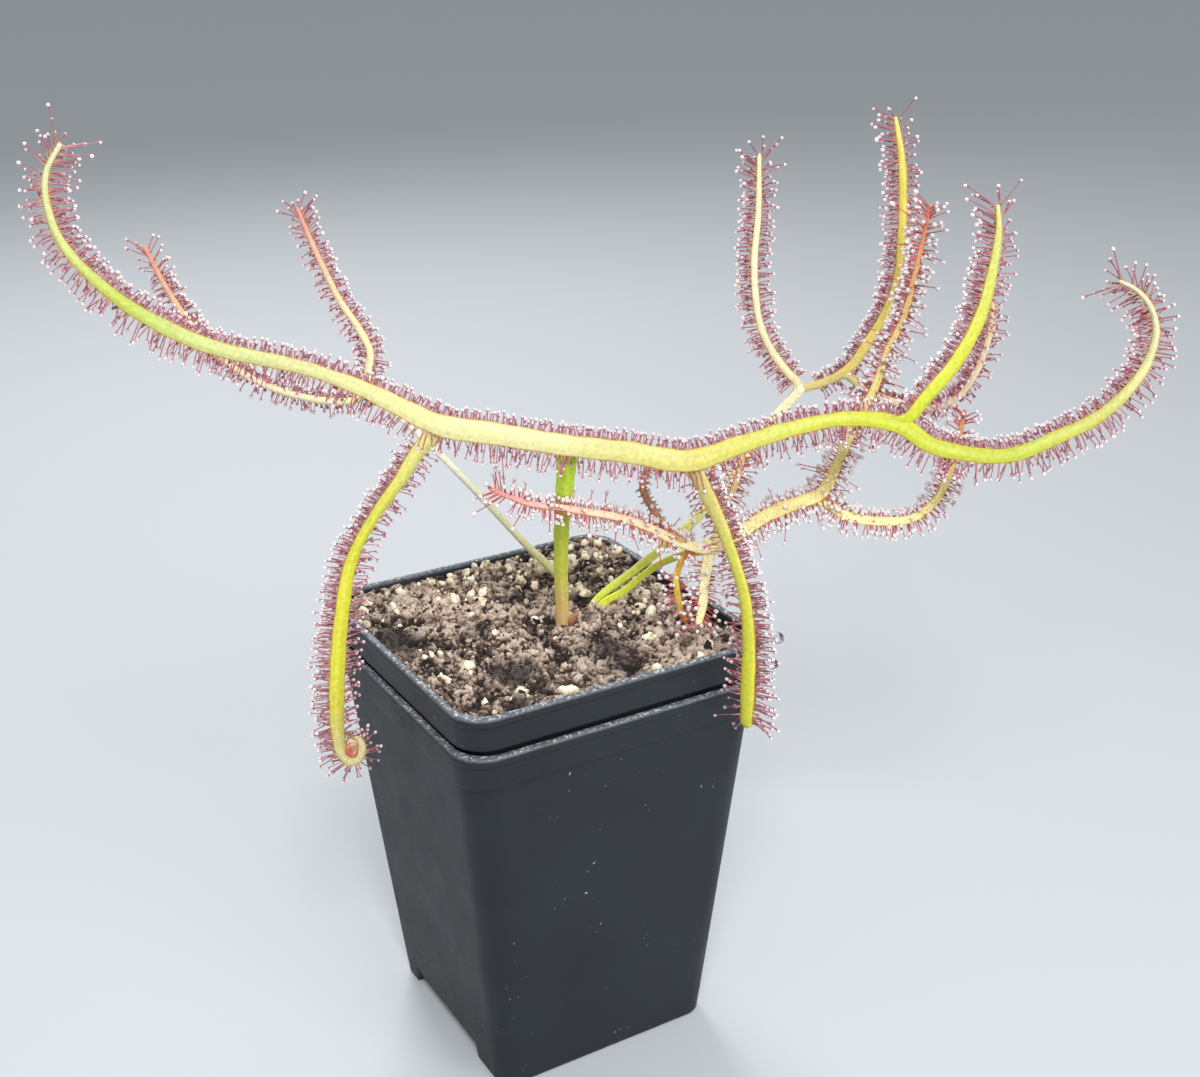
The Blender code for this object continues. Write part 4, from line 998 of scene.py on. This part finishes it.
# The stage: a plain pale floor and soft studio light; the camera stands where the photograph's
# did, about 0.35 m from the pot and looking down on it.
FLOOR_REACH = 6.0
UNDER_POT = 0.2 * MM
floor_mesh = bpy.data.meshes.new("floor")
floor_mesh.from_pydata([(x * FLOOR_REACH, y * FLOOR_REACH, -UNDER_POT)
                        for x, y in ((-1, -1), (1, -1), (1, 1), (-1, 1))], [], [(0, 1, 2, 3)])
floor = bpy.data.objects.new("floor", floor_mesh)
bpy.context.scene.collection.objects.link(floor)
floor_mat, _, floor_shader = new_material("floor_paint", Roughness=0.6)
floor_shader.inputs["Base Color"].default_value = (*linear("BFC3C7"), 1)
floor_mesh.materials.append(floor_mat)

world = bpy.data.worlds.new("studio")
world.use_nodes = True
world.node_tree.nodes["Background"].inputs["Color"].default_value = (*linear("E4E8EC"), 1)
world.node_tree.nodes["Background"].inputs["Strength"].default_value = 0.56
bpy.context.scene.world = world
bpy.context.scene.view_settings.view_transform = "Standard"


def softbox(name, place, aim, size, power):
    """A square area light aimed at a point."""
    light = bpy.data.lights.new(name, "AREA")
    light.size = size
    light.energy = power
    lamp = bpy.data.objects.new(name, light)
    lamp.location = place
    away = unit(np.array(place) - np.array(aim))
    lamp.rotation_euler = (math.acos(away[2]), 0, math.atan2(away[1], away[0]) + math.pi / 2)
    bpy.context.scene.collection.objects.link(lamp)


softbox("key_light", (-0.3, -0.6, 0.76), (0, 0, 0.1), 0.28, 7)
softbox("fill_light", (0.2, -0.75, 0.4), (0, 0, 0.12), 0.45, 3.2)
softbox("back_light", (0.15, 0.7, 0.75), (0, 0, 0.14), 0.35, 5)

# The camera: yaw, pitch and roll in degrees, its place in metres, and its focal length and frame
# width in the photograph's pixels.
CAMERA_TURN = (-30.4, 22.3, -0.7)
CAMERA_PLACE = (-0.1461, -0.2740, 0.2386)
FOCAL_PIXELS = 1631
FRAME_PIXELS = 1200
camera = bpy.data.cameras.new("camera")
camera.sensor_width = 36
camera.lens = camera.sensor_width * FOCAL_PIXELS / FRAME_PIXELS
viewer = bpy.data.objects.new("camera", camera)
yaw, pitch, roll = (math.radians(a) for a in CAMERA_TURN)
back_axis = np.array([math.sin(yaw) * math.cos(pitch), -math.cos(yaw) * math.cos(pitch),
                      math.sin(pitch)])
level = np.array([math.cos(yaw), math.sin(yaw), 0.0])
upright = np.cross(back_axis, level)
right_axis = math.cos(roll) * level + math.sin(roll) * upright
up_axis = math.cos(roll) * upright - math.sin(roll) * level
place = np.eye(4)
place[:3, 0], place[:3, 1], place[:3, 2] = right_axis, up_axis, back_axis
place[:3, 3] = CAMERA_PLACE
viewer.matrix_world = Matrix(place.tolist())
bpy.context.scene.collection.objects.link(viewer)
bpy.context.scene.camera = viewer
